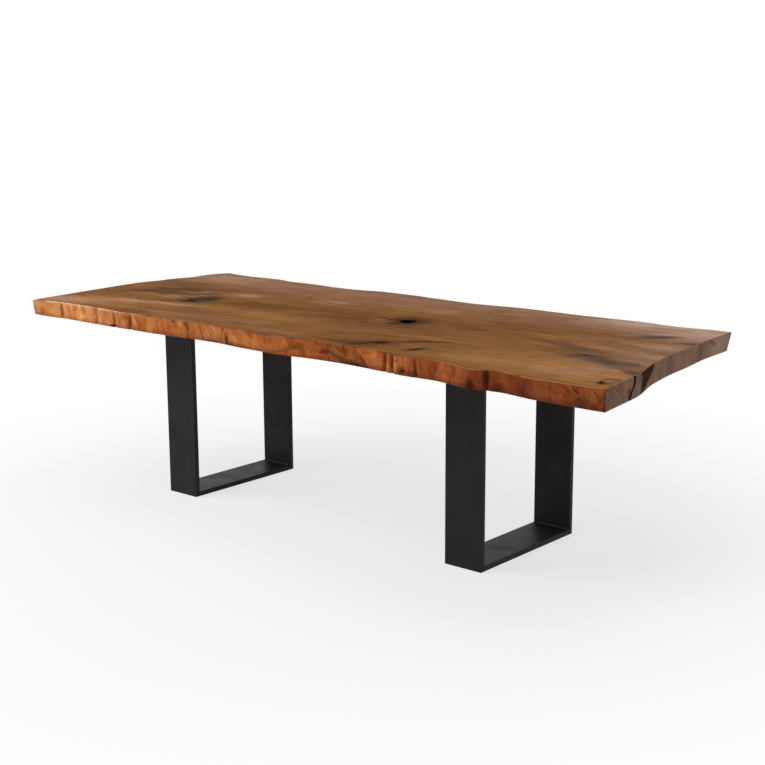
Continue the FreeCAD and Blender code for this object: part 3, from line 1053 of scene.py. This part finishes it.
def heartwood(s, vector):
    """Mask of the smoky heartwood beyond its curved border, with small curls along the border."""
    parts = s.node("ShaderNodeSeparateXYZ", {0: vector}).outputs
    run = s.math("SUBTRACT", parts["X"], HEART_CREST[0])
    drop = s.math("MULTIPLY", s.math("MULTIPLY", run, run), HEART_FALL)
    beyond = s.math("ADD", s.math("SUBTRACT", parts["Y"], HEART_CREST[1]), drop)
    border = s.math("MULTIPLY", s.remap(beyond, *HEART_SOFT), s.remap(beyond, 0.0, HEART_FADE, 1.0, 0.0))
    return s.math("MULTIPLY", border, s.remap(parts["X"], *HEART_ONSET, 0.0, HEART_STRENGTH))


# How the grain parts around the larger knots: how far from the knot, and how strongly
KNOT_SPREAD = {"knot_fill_left": (0.34, 0.75), "knot_fill_centre": (0.26, 0.7)}


def top_wood():
    """Satin brown top, streaked along the slab, with knots, smoky heartwood, pale sapwood and painted sheen.
    """
    s = Shader("slab_top")
    flat = s.plane("X", "Y")
    loose = s.wander(flat, 6.0, (0.05, 0.025, 0.0))
    ragged = s.wander(loose, 30.0, (0.036, 0.020, 0.0))
    curled = s.wander(flat, 38.0, (0.022, 0.016, 0.0))
    lie = s.wander(flat, 2.2, (0.0, 0.05, 0.0))
    for fill, (reach, pull) in KNOT_SPREAD.items():
        lie = s.spread(lie, pockets[fill]["centre"], reach, pull)
    feathered = s.wander(loose, 1.0, (0.5, 0.03, 0.0), (2.5, 60.0, 1.0))
    broad = s.grain(lie, (0.8, 6.0, 1.0), 4.0, 0.55)
    cloud = s.grain(lie, (7.0, 13.0, 1.0), 4.0, 0.6, 0.8, turn=25.0)
    streak = s.grain(lie, (1.5, 36.0, 1.0), 5.0, 0.6)
    rings = s.grain(lie, (0.9, 95.0, 1.0), 3.0, 0.5)
    fibre = s.grain(lie, (10.0, 420.0, 1.0), 3.0, 0.65)
    shade = s.ramp(broad, (0.30, 132, 88, 48), (0.50, 146, 99, 56), (0.70, 158, 112, 67))
    # Painted sheen: the top turns paler towards its far side
    shade = s.mix(s.remap(s.axis("Y"), 0.05, 0.50, 0.0, 0.75), shade, colour(166, 127, 102))
    for tint, ovals, core in TOP_LAYERS:
        shade = s.paint(shade, tint, feathered, ovals, core)
    shade = s.mix(heartwood(s, curled), shade, colour(134, 108, 92))
    shade = s.paint(shade, colour(98, 79, 66), ragged, TOP_SMOKE, 0.3)
    shade = s.paint(shade, UMBER, ragged, TOP_UMBER, 0.3, "MULTIPLY")
    shade = s.paint(shade, INK, ragged, TOP_INK, 0.3, "MULTIPLY")
    shade = s.veil(shade, 0.7, cloud, (0.32, 206, 198, 188), (0.52, 246, 244, 242), (0.68, 255, 255, 255))
    shade = s.veil(shade, 0.25, streak, (0.30, 196, 188, 180), (0.50, 245, 245, 245), (0.70, 255, 255, 255))
    shade = s.veil(shade, 0.6, rings, (0.36, 202, 194, 187), (0.47, 250, 248, 246), (0.60, 255, 255, 255))
    shade = s.veil(shade, 0.4, fibre, (0.35, 205, 200, 196), (0.55, 255, 255, 255))
    for fill, knot in KNOTS.items():
        tint, *stain = knot["stain"]
        shade = s.paint(shade, colour(*tint), ragged, [(*pockets[fill]["centre"], *stain)], 0.35)
    s.bump(broad, 0.0009, fibre, 0.25)
    return s.worn(shade, streak, 0.62, 0.50, Specular_IOR_Level=0.002)


# Colour of each live edge from left to right
NEAR_EDGE_RUN = [
    (-1.375, 206, 138, 82),
    (-1.05, 236, 165, 102),
    (-0.75, 194, 120, 62),
    (0.0, 184, 108, 54),
    (0.6, 176, 100, 48),
    (0.95, 136, 68, 30),
    (1.1, 126, 60, 26),
    (1.2, 152, 86, 46),
    (1.375, 138, 74, 34),
]
FAR_EDGE_RUN = [
    (-1.375, 186, 120, 70),
    (-0.6, 170, 102, 56),
    (0.2, 158, 92, 50),
    (0.8, 140, 78, 40),
    (1.375, 150, 88, 48),
]

# Painted figure of the near live edge: x, height, half length, half height, turn in degrees, strength
EDGE_PALE = [
    (-1.13, 0.034, 0.013, 0.052, 4, 0.4),
    (-1.045, 0.03, 0.029, 0.039, 0, 0.35),
    (-0.98, 0.032, 0.039, 0.0312, 20, 0.4),
    (-0.91, 0.036, 0.016, 0.039, 0, 0.3),
    (-0.7, 0.034, 0.013, 0.0442, 0, 0.3),
    (-0.45, 0.054, 0.03, 0.0156, 0, 0.45),
    (-0.312, 0.038, 0.008, 0.0338, 24, 0.45),
    (-0.272, 0.05, 0.008, 0.0234, 25, 0.35),
    (-0.245, 0.036, 0.006, 0.03, -15, 0.3),
    (-0.165, 0.03, 0.012, 0.03, 40, 0.25),
    (0.545, 0.034, 0.005, 0.0468, 0, 0.5),
    (0.583, 0.036, 0.008, 0.0468, 0, 0.5),
]
EDGE_GLOW = [
    (-1.055, 0.024, 0.05, 0.03, 0, 0.6),
    (-0.64, 0.012, 0.06, 0.02, 0, 0.8),
    (-0.52, 0.026, 0.05, 0.03, 0, 0.6),
    (-0.08, 0.026, 0.06, 0.03, 0, 0.8),
    (0.205, 0.018, 0.04, 0.014, 14, 0.9),
    (0.48, 0.04, 0.04, 0.03, 0, 0.6),
    (0.555, 0.036, 0.02, 0.06, 0, 1.0),
    (0.64, 0.044, 0.04, 0.03, 0, 0.8),
    (0.79, 0.052, 0.045, 0.03, 0, 1.0),
    (0.8, 0.02, 0.05, 0.02, 0, 0.7),
    (0.875, 0.056, 0.03, 0.02, 0, 0.9),
    (1.03, 0.022, 0.04, 0.024, 25, 0.35),
    (1.215, 0.04, 0.05, 0.04, 0, 0.9),
    (1.33, 0.056, 0.06, 0.02, 0, 0.9),
]
EDGE_RED = [
    (-1.08, 0.052, 0.026, 0.026, 0, 0.5),
    (-1.01, 0.046, 0.018, 0.0312, 0, 0.4),
    (-0.865, 0.042, 0.023, 0.0286, 10, 0.6),
    (-0.8, 0.04, 0.021, 0.039, 0, 0.4),
    (-0.64, 0.04, 0.016, 0.039, -25, 0.6),
    (-0.55, 0.05, 0.039, 0.0182, 0, 0.4),
    (-0.39, 0.02, 0.021, 0.026, 20, 0.5),
    (-0.155, 0.054, 0.031, 0.0156, 0, 0.5),
    (-0.07, 0.046, 0.016, 0.0338, 0, 0.4),
    (0.16, 0.026, 0.018, 0.039, 10, 0.5),
    (0.02, 0.046, 0.021, 0.0234, 0, 0.4),
    (0.695, 0.036, 0.016, 0.052, 0, 0.7),
    (0.728, 0.042, 0.045, 0.05, 0, 0.6),
    (0.83, 0.042, 0.021, 0.0338, 15, 0.5),
    (1.05, 0.04, 0.039, 0.039, 20, 0.5),
    (1.12, 0.044, 0.021, 0.0338, 0, 0.5),
]
EDGE_SMOKE = [
    (0.335, 0.03, 0.15, 0.06, -12, 0.45),
    (0.655, 0.01, 0.04, 0.018, 0, 0.7),
    (0.262, 0.034, 0.042, 0.016, 8, 0.95),
    (0.3, 0.026, 0.075, 0.013, -24, 0.9),
    (0.335, 0.014, 0.075, 0.016, -26, 0.95),
    (0.349, 0.044, 0.016, 0.044, 8, 0.8),
    (0.385, 0.01, 0.075, 0.018, -8, 0.95),
    (0.402, 0.034, 0.022, 0.05, 18, 0.75),
    (0.432, 0.022, 0.06, 0.013, -48, 0.9),
    (0.31, 0.056, 0.055, 0.015, -18, 0.7),
    (0.1, 0.022, 0.085, 0.0059, 14, 0.6),
    (0.13, 0.036, 0.091, 0.0059, 12, 0.5),
    (0.05, 0.012, 0.065, 0.0046, 16, 0.45),
    (-0.24, 0.02, 0.026, 0.0156, 30, 0.5),
    (0.73, 0.024, 0.031, 0.039, 0, 0.4),
    (1.09, 0.02, 0.039, 0.0208, -30, 0.4),
    (1.245, 0.048, 0.03, 0.0065, -30, 0.5),
    (1.33, 0.018, 0.05, 0.0065, -30, 0.4),
]
# Holes and notches in the edge, painted nearly black as a painted shade
EDGE_HOLE_SHADOWS = [
    (-0.838, 0.003, 0.032, 0.011, 8, 1.0),
    (0.618, 0.016, 0.016, 0.0097, 15, 0.9),
    (0.4, 0.003, 0.07, 0.006, 0, 0.6),
    (-0.315, 0.002, 0.021, 0.006, 0, 0.6),
]
EDGE_INK = [
    (-0.745, 0.03, 0.026, 0.052, 8, 0.4),
    (-0.49, 0.058, 0.023, 0.0104, 0, 0.7),
    (-0.427, 0.056, 0.018, 0.0156, 0, 0.6),
    (-0.345, 0.03, 0.008, 0.052, 6, 0.5),
    (-0.315, 0.003, 0.021, 0.0078, 0, 0.8),
    (-0.225, 0.056, 0.013, 0.013, 0, 0.6),
    (-0.21, 0.02, 0.016, 0.0338, 0, 0.7),
    (-0.185, 0.005, 0.044, 0.0091, 0, 0.6),
    (0.4, 0.004, 0.078, 0.0091, 0, 0.7),
    (0.61, 0.02, 0.03, 0.018, 15, 0.6),
    (0.589, 0.047, 0.008, 0.0059, 0, 0.8),
    (0.67, 0.03, 0.01, 0.052, 4, 0.6),
    (0.9, 0.012, 0.031, 0.0312, 0, 0.8),
    (0.955, 0.033, 0.016, 0.065, 0, 0.4),
    (0.995, 0.014, 0.039, 0.026, 0, 0.6),
    (1.1, 0.036, 0.013, 0.039, -20, 0.4),
    (1.19, 0.03, 0.01, 0.0442, 0, 0.35),
    (1.278, 0.049, 0.026, 0.0036, -42, 0.9),
    (1.342, 0.048, 0.024, 0.0036, -42, 0.8),
    (1.3, 0.018, 0.036, 0.022, 0, 0.5),
    (1.36, 0.036, 0.03, 0.018, 0, 0.3),
    (1.372, 0.03, 0.012, 0.06, 0, 0.5),
]

# How the live edge's figure shades the wood under it, channel by channel
GLOW = (1.24, 1.30, 1.26, 1.0)
EMBER = (0.74, 0.54, 0.44, 1.0)
SMOKE = (0.30, 0.34, 0.35, 1.0)
# Painted shadow in the grooves
GROOVE_SHADOW = (0.42, 0.30, 0.22, 1.0)
# Painted shade towards the underside of the edge
FOOT_SHADE = (0.60, 0.50, 0.44, 1.0)

# Figure painted on the near live edge, from the lowest layer up
EDGE_LAYERS = [
    (colour(232, 174, 122), EDGE_PALE, "MIX"),
    (GLOW, EDGE_GLOW, "MULTIPLY"),
    (EMBER, EDGE_RED, "MULTIPLY"),
    (SMOKE, EDGE_SMOKE, "MULTIPLY"),
    (INK, EDGE_INK, "MULTIPLY"),
    # Painted shade of the holes and notches
    (colour(24, 13, 8), EDGE_HOLE_SHADOWS, "MIX"),
]

# The shadow in a groove against the groove itself: half width, share of the height, darkness for its depth
GROOVE_WIDER = 1.8
GROOVE_TALL = 0.75
GROOVE_DARK = 170


def live_edge_wood(name, run, grooves, seed, figure=()):
    """Live edge: wood under the bark, wavy across the grain, with painted shadow in the grooves and painted
    shade low down.
    """
    s = Shader(name)
    apart = (seed, seed, 0.0)
    moved = s.vector("ADD", s.plane("X", "Z", UNDERSIDE), apart)
    loose = s.vector("SUBTRACT", s.wander(moved, 28.0, (0.016, 0.010, 0.0)), apart)
    waves = s.grain(moved, (16.0, 9.0, 1.0), 4.0, 0.55, 1.2, turn=14.0)
    drift = s.grain(moved, (11.0, 15.0, 1.0), 3.0, 0.55, 1.0, turn=-35.0)
    curl = s.grain(moved, (60.0, 24.0, 1.0), 4.0, 0.6, 1.6, turn=-30.0)
    fibre = s.grain(moved, (500.0, 60.0, 1.0), 3.0, 0.6)
    # Painted shade: the edge darkens towards the underside, up to a wavy line
    foot = s.math("SUBTRACT", s.axis("Z", UNDERSIDE), s.math("MULTIPLY", waves, 0.016))
    shade = s.along_x(run)
    for share, tint in (
        (s.remap(waves, 0.46, 0.64), GLOW),
        (s.remap(drift, 0.47, 0.62, 0.0, 0.85), EMBER),
        (s.remap(curl, 0.34, 0.50, 0.6, 0.0), EMBER),
        (s.remap(foot, -0.006, 0.014, 0.8, 0.0), FOOT_SHADE),
    ):
        shade = s.mix(share, shade, tint, "MULTIPLY")
    for tint, ovals, blend in figure:
        shade = s.paint(shade, tint, loose, ovals, 0.25, blend)
    shadows = []
    for place, half_width, depth, lean, lowest, highest in grooves:
        middle = THICKNESS * (lowest + highest) / 2
        half = THICKNESS * (highest - lowest) * GROOVE_TALL
        turn = math.degrees(lean / THICKNESS)
        shadows.append((place, middle, half_width * GROOVE_WIDER, half, turn, min(1.0, depth * GROOVE_DARK)))
    # Painted shadow down each groove, darker for a deeper groove
    shade = s.paint(shade, GROOVE_SHADOW, loose, shadows, 0.2, "MULTIPLY")
    shade = s.veil(shade, 0.7, fibre, (0.35, 220, 212, 206), (0.60, 255, 255, 255))
    s.bump(curl, 0.0012, fibre, 0.3)
    return s.worn(shade, waves, 0.60, 0.46, Specular_IOR_Level=0.06)


# Colour of the eased lip from left to right, with a painted highlight on its pale stretch at the left
ARRIS_RUN_WITH_HIGHLIGHT = [
    (-1.375, 186, 134, 92),
    (-1.27, 190, 140, 98),
    (-1.22, 226, 188, 158),
    (-0.9, 226, 186, 154),
    (-0.62, 150, 100, 58),
    (0.6, 136, 88, 48),
    (0.95, 162, 108, 68),
    (1.375, 176, 122, 80),
]


def arris_wood():
    """Eased lip between the top and the live edges, with a painted highlight where it is widest, broken by
    noise.
    """
    s = Shader("slab_arris")
    rub_and_highlight_breaks = s.grain(s.plane("X", "Y"), (11.0, 40.0, 1.0), 4.0, 0.6)
    # Painted highlight: the pale run along the lip, darkened in places by noise
    shade = s.veil(s.along_x(ARRIS_RUN_WITH_HIGHLIGHT), 0.9, rub_and_highlight_breaks, (0.40, 176, 150, 132), (0.55, 255, 255, 255))
    s.bump(rub_and_highlight_breaks, 0.0005)
    return s.worn(shade, rub_and_highlight_breaks, 0.55, 0.42, Specular_IOR_Level=0.06)


# Painted figure of the sawn ends: y, height, half width, half height, turn in degrees, strength
END_INK = [
    (-0.385, 0.02, 0.03, 0.03, 20, 0.7),
    (-0.345, 0.05, 0.016, 0.03, 0, 0.4),
    (0.265, 0.05, 0.009, 0.03, 8, 0.7),
    (0.276, 0.024, 0.009, 0.034, -8, 0.6),
    (0.291, 0.044, 0.008, 0.03, 0, 0.4),
    (0.375, 0.05, 0.05, 0.015, -14, 0.5),
    (-0.47, 0.048, 0.05, 0.007, -35, 0.5),
    (-0.452, 0.05, 0.024, 0.024, 0, 0.3),
    (-0.315, 0.052, 0.024, 0.024, 0, 0.3),
    (-0.462, 0.03, 0.06, 0.06, 0, 0.15),
]
END_RED = [
    (-0.228, 0.044, 0.032, 0.05, -18, 0.85),
]
END_WARM = [
    (0.175, 0.036, 0.06, 0.09, 4, 0.8),
    (-0.118, 0.034, 0.045, 0.09, 0, 0.6),
    (-0.42, 0.04, 0.05, 0.05, 0, 0.4),
]
END_GREY = [
    (0.0, 0.033, 0.08, 0.09, 0, 0.4),
    (0.252, 0.033, 0.036, 0.09, 0, 0.5),
]
END_GLOW = [
    (0.219, 0.048, 0.011, 0.04, -8, 0.9),
    (0.155, 0.02, 0.045, 0.04, 0, 0.35),
]
END_PALE = [
    (0.43, 0.034, 0.16, 0.09, 0, 1.0),
    (0.09, 0.03, 0.08, 0.06, 0, 0.4),
]

# Dark wedge in the right end, from the top down: its upright side, its width at the top, its soft border and
# its strength
WEDGE_SIDE = -0.288
WEDGE_WIDTH = 0.150
WEDGE_SOFT = 0.014
WEDGE_STRENGTH = 0.95

# Layers on the ends below the wedge, from the lowest up: tint, ovals, and the share of an oval that is core
END_LAYERS = [
    (colour(172, 128, 100), END_WARM, 0.1),
    (colour(142, 120, 102), END_GREY, 0.1),
    (colour(192, 160, 140), END_PALE, 0.0),
    (colour(206, 150, 108), END_GLOW, 0.1),
    (colour(84, 54, 40), END_INK, 0.2),
]


def wedge(s, vector):
    """Mask of the dark wedge, which narrows ever faster to nothing at the underside."""
    parts = s.node("ShaderNodeSeparateXYZ", {0: vector}).outputs
    from_side = s.math("SUBTRACT", parts["X"], WEDGE_SIDE)
    height = s.math("DIVIDE", parts["Y"], THICKNESS)
    width = s.math("MULTIPLY", s.math("MULTIPLY", height, s.math("SUBTRACT", 2.0, height)), WEDGE_WIDTH)
    from_slope = s.math("SUBTRACT", width, from_side)
    begun = s.remap(from_side, -WEDGE_SOFT, WEDGE_SOFT)
    return s.math("MULTIPLY", begun, s.remap(from_slope, -WEDGE_SOFT, WEDGE_SOFT, 0.0, WEDGE_STRENGTH))


def end_wood():
    """Sawn ends: greyer, with upright saw marks and growth rings cut across."""
    s = Shader("slab_end")
    face = s.plane("Y", "Z", UNDERSIDE)
    loose = s.wander(face, 30.0, (0.016, 0.010, 0.0))
    grain = s.grain(face, (22.0, 6.0, 1.0), 4.0, 0.55, 0.5, turn=8.0)
    saw = s.grain(face, (300.0, 22.0, 1.0), 3.0, 0.6)
    shade = s.ramp(grain, (0.30, 134, 108, 89), (0.50, 156, 126, 104), (0.70, 170, 140, 118))
    for tint, ovals, core in END_LAYERS:
        shade = s.paint(shade, tint, loose, ovals, core)
    on_right = s.remap(s.axis("X"), -0.1, 0.1)
    shade = s.mix(s.math("MULTIPLY", wedge(s, loose), on_right), shade, colour(54, 42, 30))
    shade = s.paint(shade, colour(78, 42, 24), loose, END_RED, 0.1)
    shade = s.veil(shade, 0.8, saw, (0.35, 224, 219, 215), (0.60, 255, 255, 255))
    s.bump(grain, 0.0008, saw, 0.4)
    return s.worn(shade, grain, 0.72, 0.58, Specular_IOR_Level=0.004)


def underside_wood():
    """Planed underside, plainer and drier than the top."""
    s = Shader("slab_underside")
    lie = s.wander(s.plane("X", "Y"), 2.0, (0.0, 0.06, 0.0))
    streak = s.grain(lie, (1.2, 26.0, 1.0), 6.0, 0.6)
    fibre = s.grain(lie, (10.0, 420.0, 1.0), 3.0, 0.6)
    shade = s.ramp(streak, (0.30, 104, 70, 44), (0.50, 128, 90, 60), (0.70, 146, 106, 74))
    shade = s.veil(shade, 0.7, fibre, (0.35, 205, 200, 196), (0.60, 255, 255, 255))
    s.bump(fibre, 0.0005)
    return s.worn(shade, streak, 0.80, 0.68, Specular_IOR_Level=0.15)


def cavity_wood(name, dark, middle, light):
    """Dark walls of the crack or the knots: their own dark tone and a painted shade of the hollows."""
    s = Shader(name)
    crumbs = s.noise(s.here, 110.0, 4.0, 0.65)
    shade = s.ramp(crumbs, (0.30, *dark), (0.55, *middle), (0.75, *light))
    s.bump(crumbs, 0.002)
    return s.worn(shade, crumbs, 0.95, 0.8, Specular_IOR_Level=0.02)


# How far a fill's own tones reach past its pocket before its rim sets in, and how softly its painted shade
# sets in
FILL_REACH = 1.25
FILL_SINK = 0.004


def knot_fill_material(fill):
    """Rough fill of a knot, toned to the wood at its rim, with a painted shade that turns it black where it
    sinks.
    """
    s = Shader(fill + "_finish")
    knot, pocket = KNOTS[fill], pockets[fill]
    crumbs = s.noise(s.here, 70.0, 5.0, 0.65)
    specks = s.noise(s.here, 260.0, 2.0, 0.6)
    flat = s.wander(s.plane("X", "Y"), 40.0, (0.016, 0.016, 0.0))
    reach = float(pocket["radius"].mean()) * FILL_REACH
    body = s.patch(flat, *pocket["centre"], reach, reach, 0.0, 0.35)
    shade = s.mix(body, colour(*knot["rim"]), s.ramp(crumbs, *knot["tones"]))
    # Painted shade: the fill turns black below a depth, where the pit lies in shadow
    pit = TOP - knot["drop"] - knot["painted_shade_below"]
    shade = s.mix(s.remap(s.axis("Z"), pit - FILL_SINK, pit, 1.0, 0.0), shade, colour(9, 7, 6))
    s.bump(crumbs, 0.0015, specks, 0.3)
    return s.worn(shade, crumbs, 0.78, 0.55, Specular_IOR_Level=0.002)


def steel(name, dark, light, rough, smooth):
    """Black finished steel, faintly mottled, with a fine tooth."""
    s = Shader(name)
    mottle = s.noise(s.here, 7.0, 5.0, 0.6, 0.6)
    tooth = s.noise(s.here, 420.0, 2.0, 0.5)
    shade = s.ramp(mottle, (0.30, *dark), (0.70, *light))
    s.bump(mottle, 0.0004, tooth, 0.25)
    return s.worn(shade, mottle, rough, smooth, Specular_IOR_Level=0.12)


def weld_metal():
    """Painted weld bead, mottled by its heat."""
    s = Shader("weld_metal")
    ripple = s.grain(s.here, (160.0, 40.0, 40.0), 2.0, 0.5)
    s.bump(ripple, 0.0006)
    shade = s.ramp(ripple, (0.30, 30, 29, 28), (0.70, 50, 48, 47))
    return s.worn(shade, ripple, 0.6, 0.45, Specular_IOR_Level=0.25)


def turned_brass():
    """Brass of the inserts, with fine turning marks."""
    s = Shader("insert_brass")
    marks = s.grain(s.here, (20.0, 20.0, 900.0), 2.0, 0.5)
    s.bump(marks, 0.0003)
    shade = s.ramp(marks, (0.30, 178, 138, 66), (0.70, 212, 174, 96))
    return s.worn(shade, marks, 0.42, 0.30, Metallic=1.0)


def felt():
    """Pressed dark felt of the floor pads."""
    s = Shader("pad_felt")
    nap = s.noise(s.here, 700.0, 3.0, 0.7)
    s.bump(nap, 0.001)
    shade = s.ramp(nap, (0.30, 38, 37, 36), (0.70, 66, 64, 62))
    return s.finish(Base_Color=shade, Roughness=0.95, Sheen_Weight=0.3)


slab_materials = [
    top_wood(),
    arris_wood(),
    live_edge_wood("slab_near_edge", NEAR_EDGE_RUN, NEAR_GROOVES, 0.0, EDGE_LAYERS),
    live_edge_wood("slab_far_edge", FAR_EDGE_RUN, FAR_GROOVES, 4.0),
    end_wood(),
    underside_wood(),
    # The crack and knot walls are painted dark, partly as a painted shade of these hollows
    cavity_wood("slab_crack", (26, 3, 4), (44, 6, 7), (60, 12, 11)),
    cavity_wood("slab_knot", (8, 6, 4), (18, 13, 8), (34, 24, 15)),
]
slab = build_slab(slab_materials)
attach(slab, "root")
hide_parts(SLAB)

for fill_node in KNOTS:
    piece = build_fill(fill_node, knot_fill_material(fill_node))
    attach(piece, "root")
    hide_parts(fill_node)

weld_material = weld_metal()
for loop_side in ("left", "right"):
    beads = build_welds(loop_side + "_corner_welds", loop_side + "_weld_beads", weld_material)
    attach(beads, "root")
    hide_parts(loop_side + "_corner_welds")

SLOT_MATERIALS = {
    "black_steel": steel("black_steel", (30, 27, 26), (41, 38, 37), 0.52, 0.40),
    "fastener_steel": steel("fastener_steel", (30, 30, 31), (46, 46, 47), 0.46, 0.34),
    "insert_brass": turned_brass(),
    "pad_felt": felt(),
}
for part in frame["record"]["subparts"]:
    if part["material_slot"] in SLOT_MATERIALS:
        node = frame["nodes"][part["node"]]
        node.data.materials.clear()
        node.data.materials.append(SLOT_MATERIALS[part["material_slot"]])


# The floor: how far it reaches, its grey, and where its fade to white begins and ends, and from what share
FLOOR_REACH = 60.0
FLOOR_GREY = (0.9, 0.9, 0.9, 1.0)
FADE_PLACES = (0.9, 2.6)
FADE_SHARES = (0.70, 1.0)

# The world's light on the table, against the white that is seen
WHITE = (1.0, 1.0, 1.0, 1.0)
WORLD_LIGHT = 0.35


def build_stage():
    """Pale floor that keeps the shadow and fades to white, with a white world."""
    mesh = bpy.data.meshes.new("floor")
    signs = ((-1, -1), (1, -1), (1, 1), (-1, 1))
    mesh.from_pydata([(x * FLOOR_REACH, y * FLOOR_REACH, 0) for x, y in signs], [], [(0, 1, 2, 3)])
    floor = bpy.data.objects.new("floor", mesh)
    bpy.context.scene.collection.objects.link(floor)
    s = Shader("floor")
    mesh.materials.append(s.finish(Base_Color=FLOOR_GREY, Roughness=0.9, Specular_IOR_Level=0.0))
    glow = s.node("ShaderNodeEmission", {"Color": WHITE, "Strength": 1.0})
    distance = s.node("ShaderNodeVectorMath", {0: s.here}, operation="LENGTH").outputs["Value"]
    share = s.math("MULTIPLY", s.seen(), s.remap(distance, *FADE_PLACES, *FADE_SHARES))
    both = s.node("ShaderNodeMixShader", {0: share, 1: s.surface.outputs[0], 2: glow.outputs[0]})
    s.feed(s.tree.nodes["Material Output"].inputs["Surface"], both.outputs[0])

    world = bpy.data.worlds.new("studio")
    bpy.context.scene.world = world
    world.use_nodes = True
    sky = Graph(world.node_tree)
    background = sky.tree.nodes["Background"].inputs
    inputs = {"Value": sky.seen(), "To Min": WORLD_LIGHT, "To Max": 1.0}
    sky.feed(background["Strength"], sky.node("ShaderNodeMapRange", inputs).outputs[0])
    sky.feed(background["Color"], WHITE)


def add_lamp(name, place, target, size, power):
    """Soft square lamp at a place, aimed at a target."""
    lamp = bpy.data.lights.new(name, "AREA")
    lamp.shape = "SQUARE"
    lamp.size = size
    lamp.energy = power
    holder = bpy.data.objects.new(name, lamp)
    holder.location = place
    holder.rotation_euler = (Vector(target) - Vector(place)).to_track_quat("-Z", "Y").to_euler()
    bpy.context.scene.collection.objects.link(holder)


build_stage()
add_lamp("key_lamp", (-3.5, -4.0, 4.5), (0, 0, 0.6), 4.0, 250)
add_lamp("top_lamp", (0.5, 1.0, 5.0), (0, 0, 0.6), 4.0, 62)

# Camera at the photograph's angle: place, turn about Z, tilt below the horizon, roll, and focal length
EYE = (3.3314, -3.8050, 1.5502)
PAN = 0.7050
TILT = 0.2049
ROLL = -0.0045
SENSOR = 36.0
FOCAL_IN_WIDTHS = 1389.63 / 765

camera = bpy.data.cameras.new("camera")
camera.sensor_width = SENSOR
camera.lens = FOCAL_IN_WIDTHS * SENSOR
holder = bpy.data.objects.new("camera", camera)
holder.matrix_world = (
    Matrix.Translation(EYE)
    @ Matrix.Rotation(PAN, 4, "Z")
    @ Matrix.Rotation(math.pi / 2 - TILT, 4, "X")
    @ Matrix.Rotation(ROLL, 4, "Z")
)
bpy.context.scene.collection.objects.link(holder)
bpy.context.scene.camera = holder
bpy.context.scene.view_settings.view_transform = "Standard"
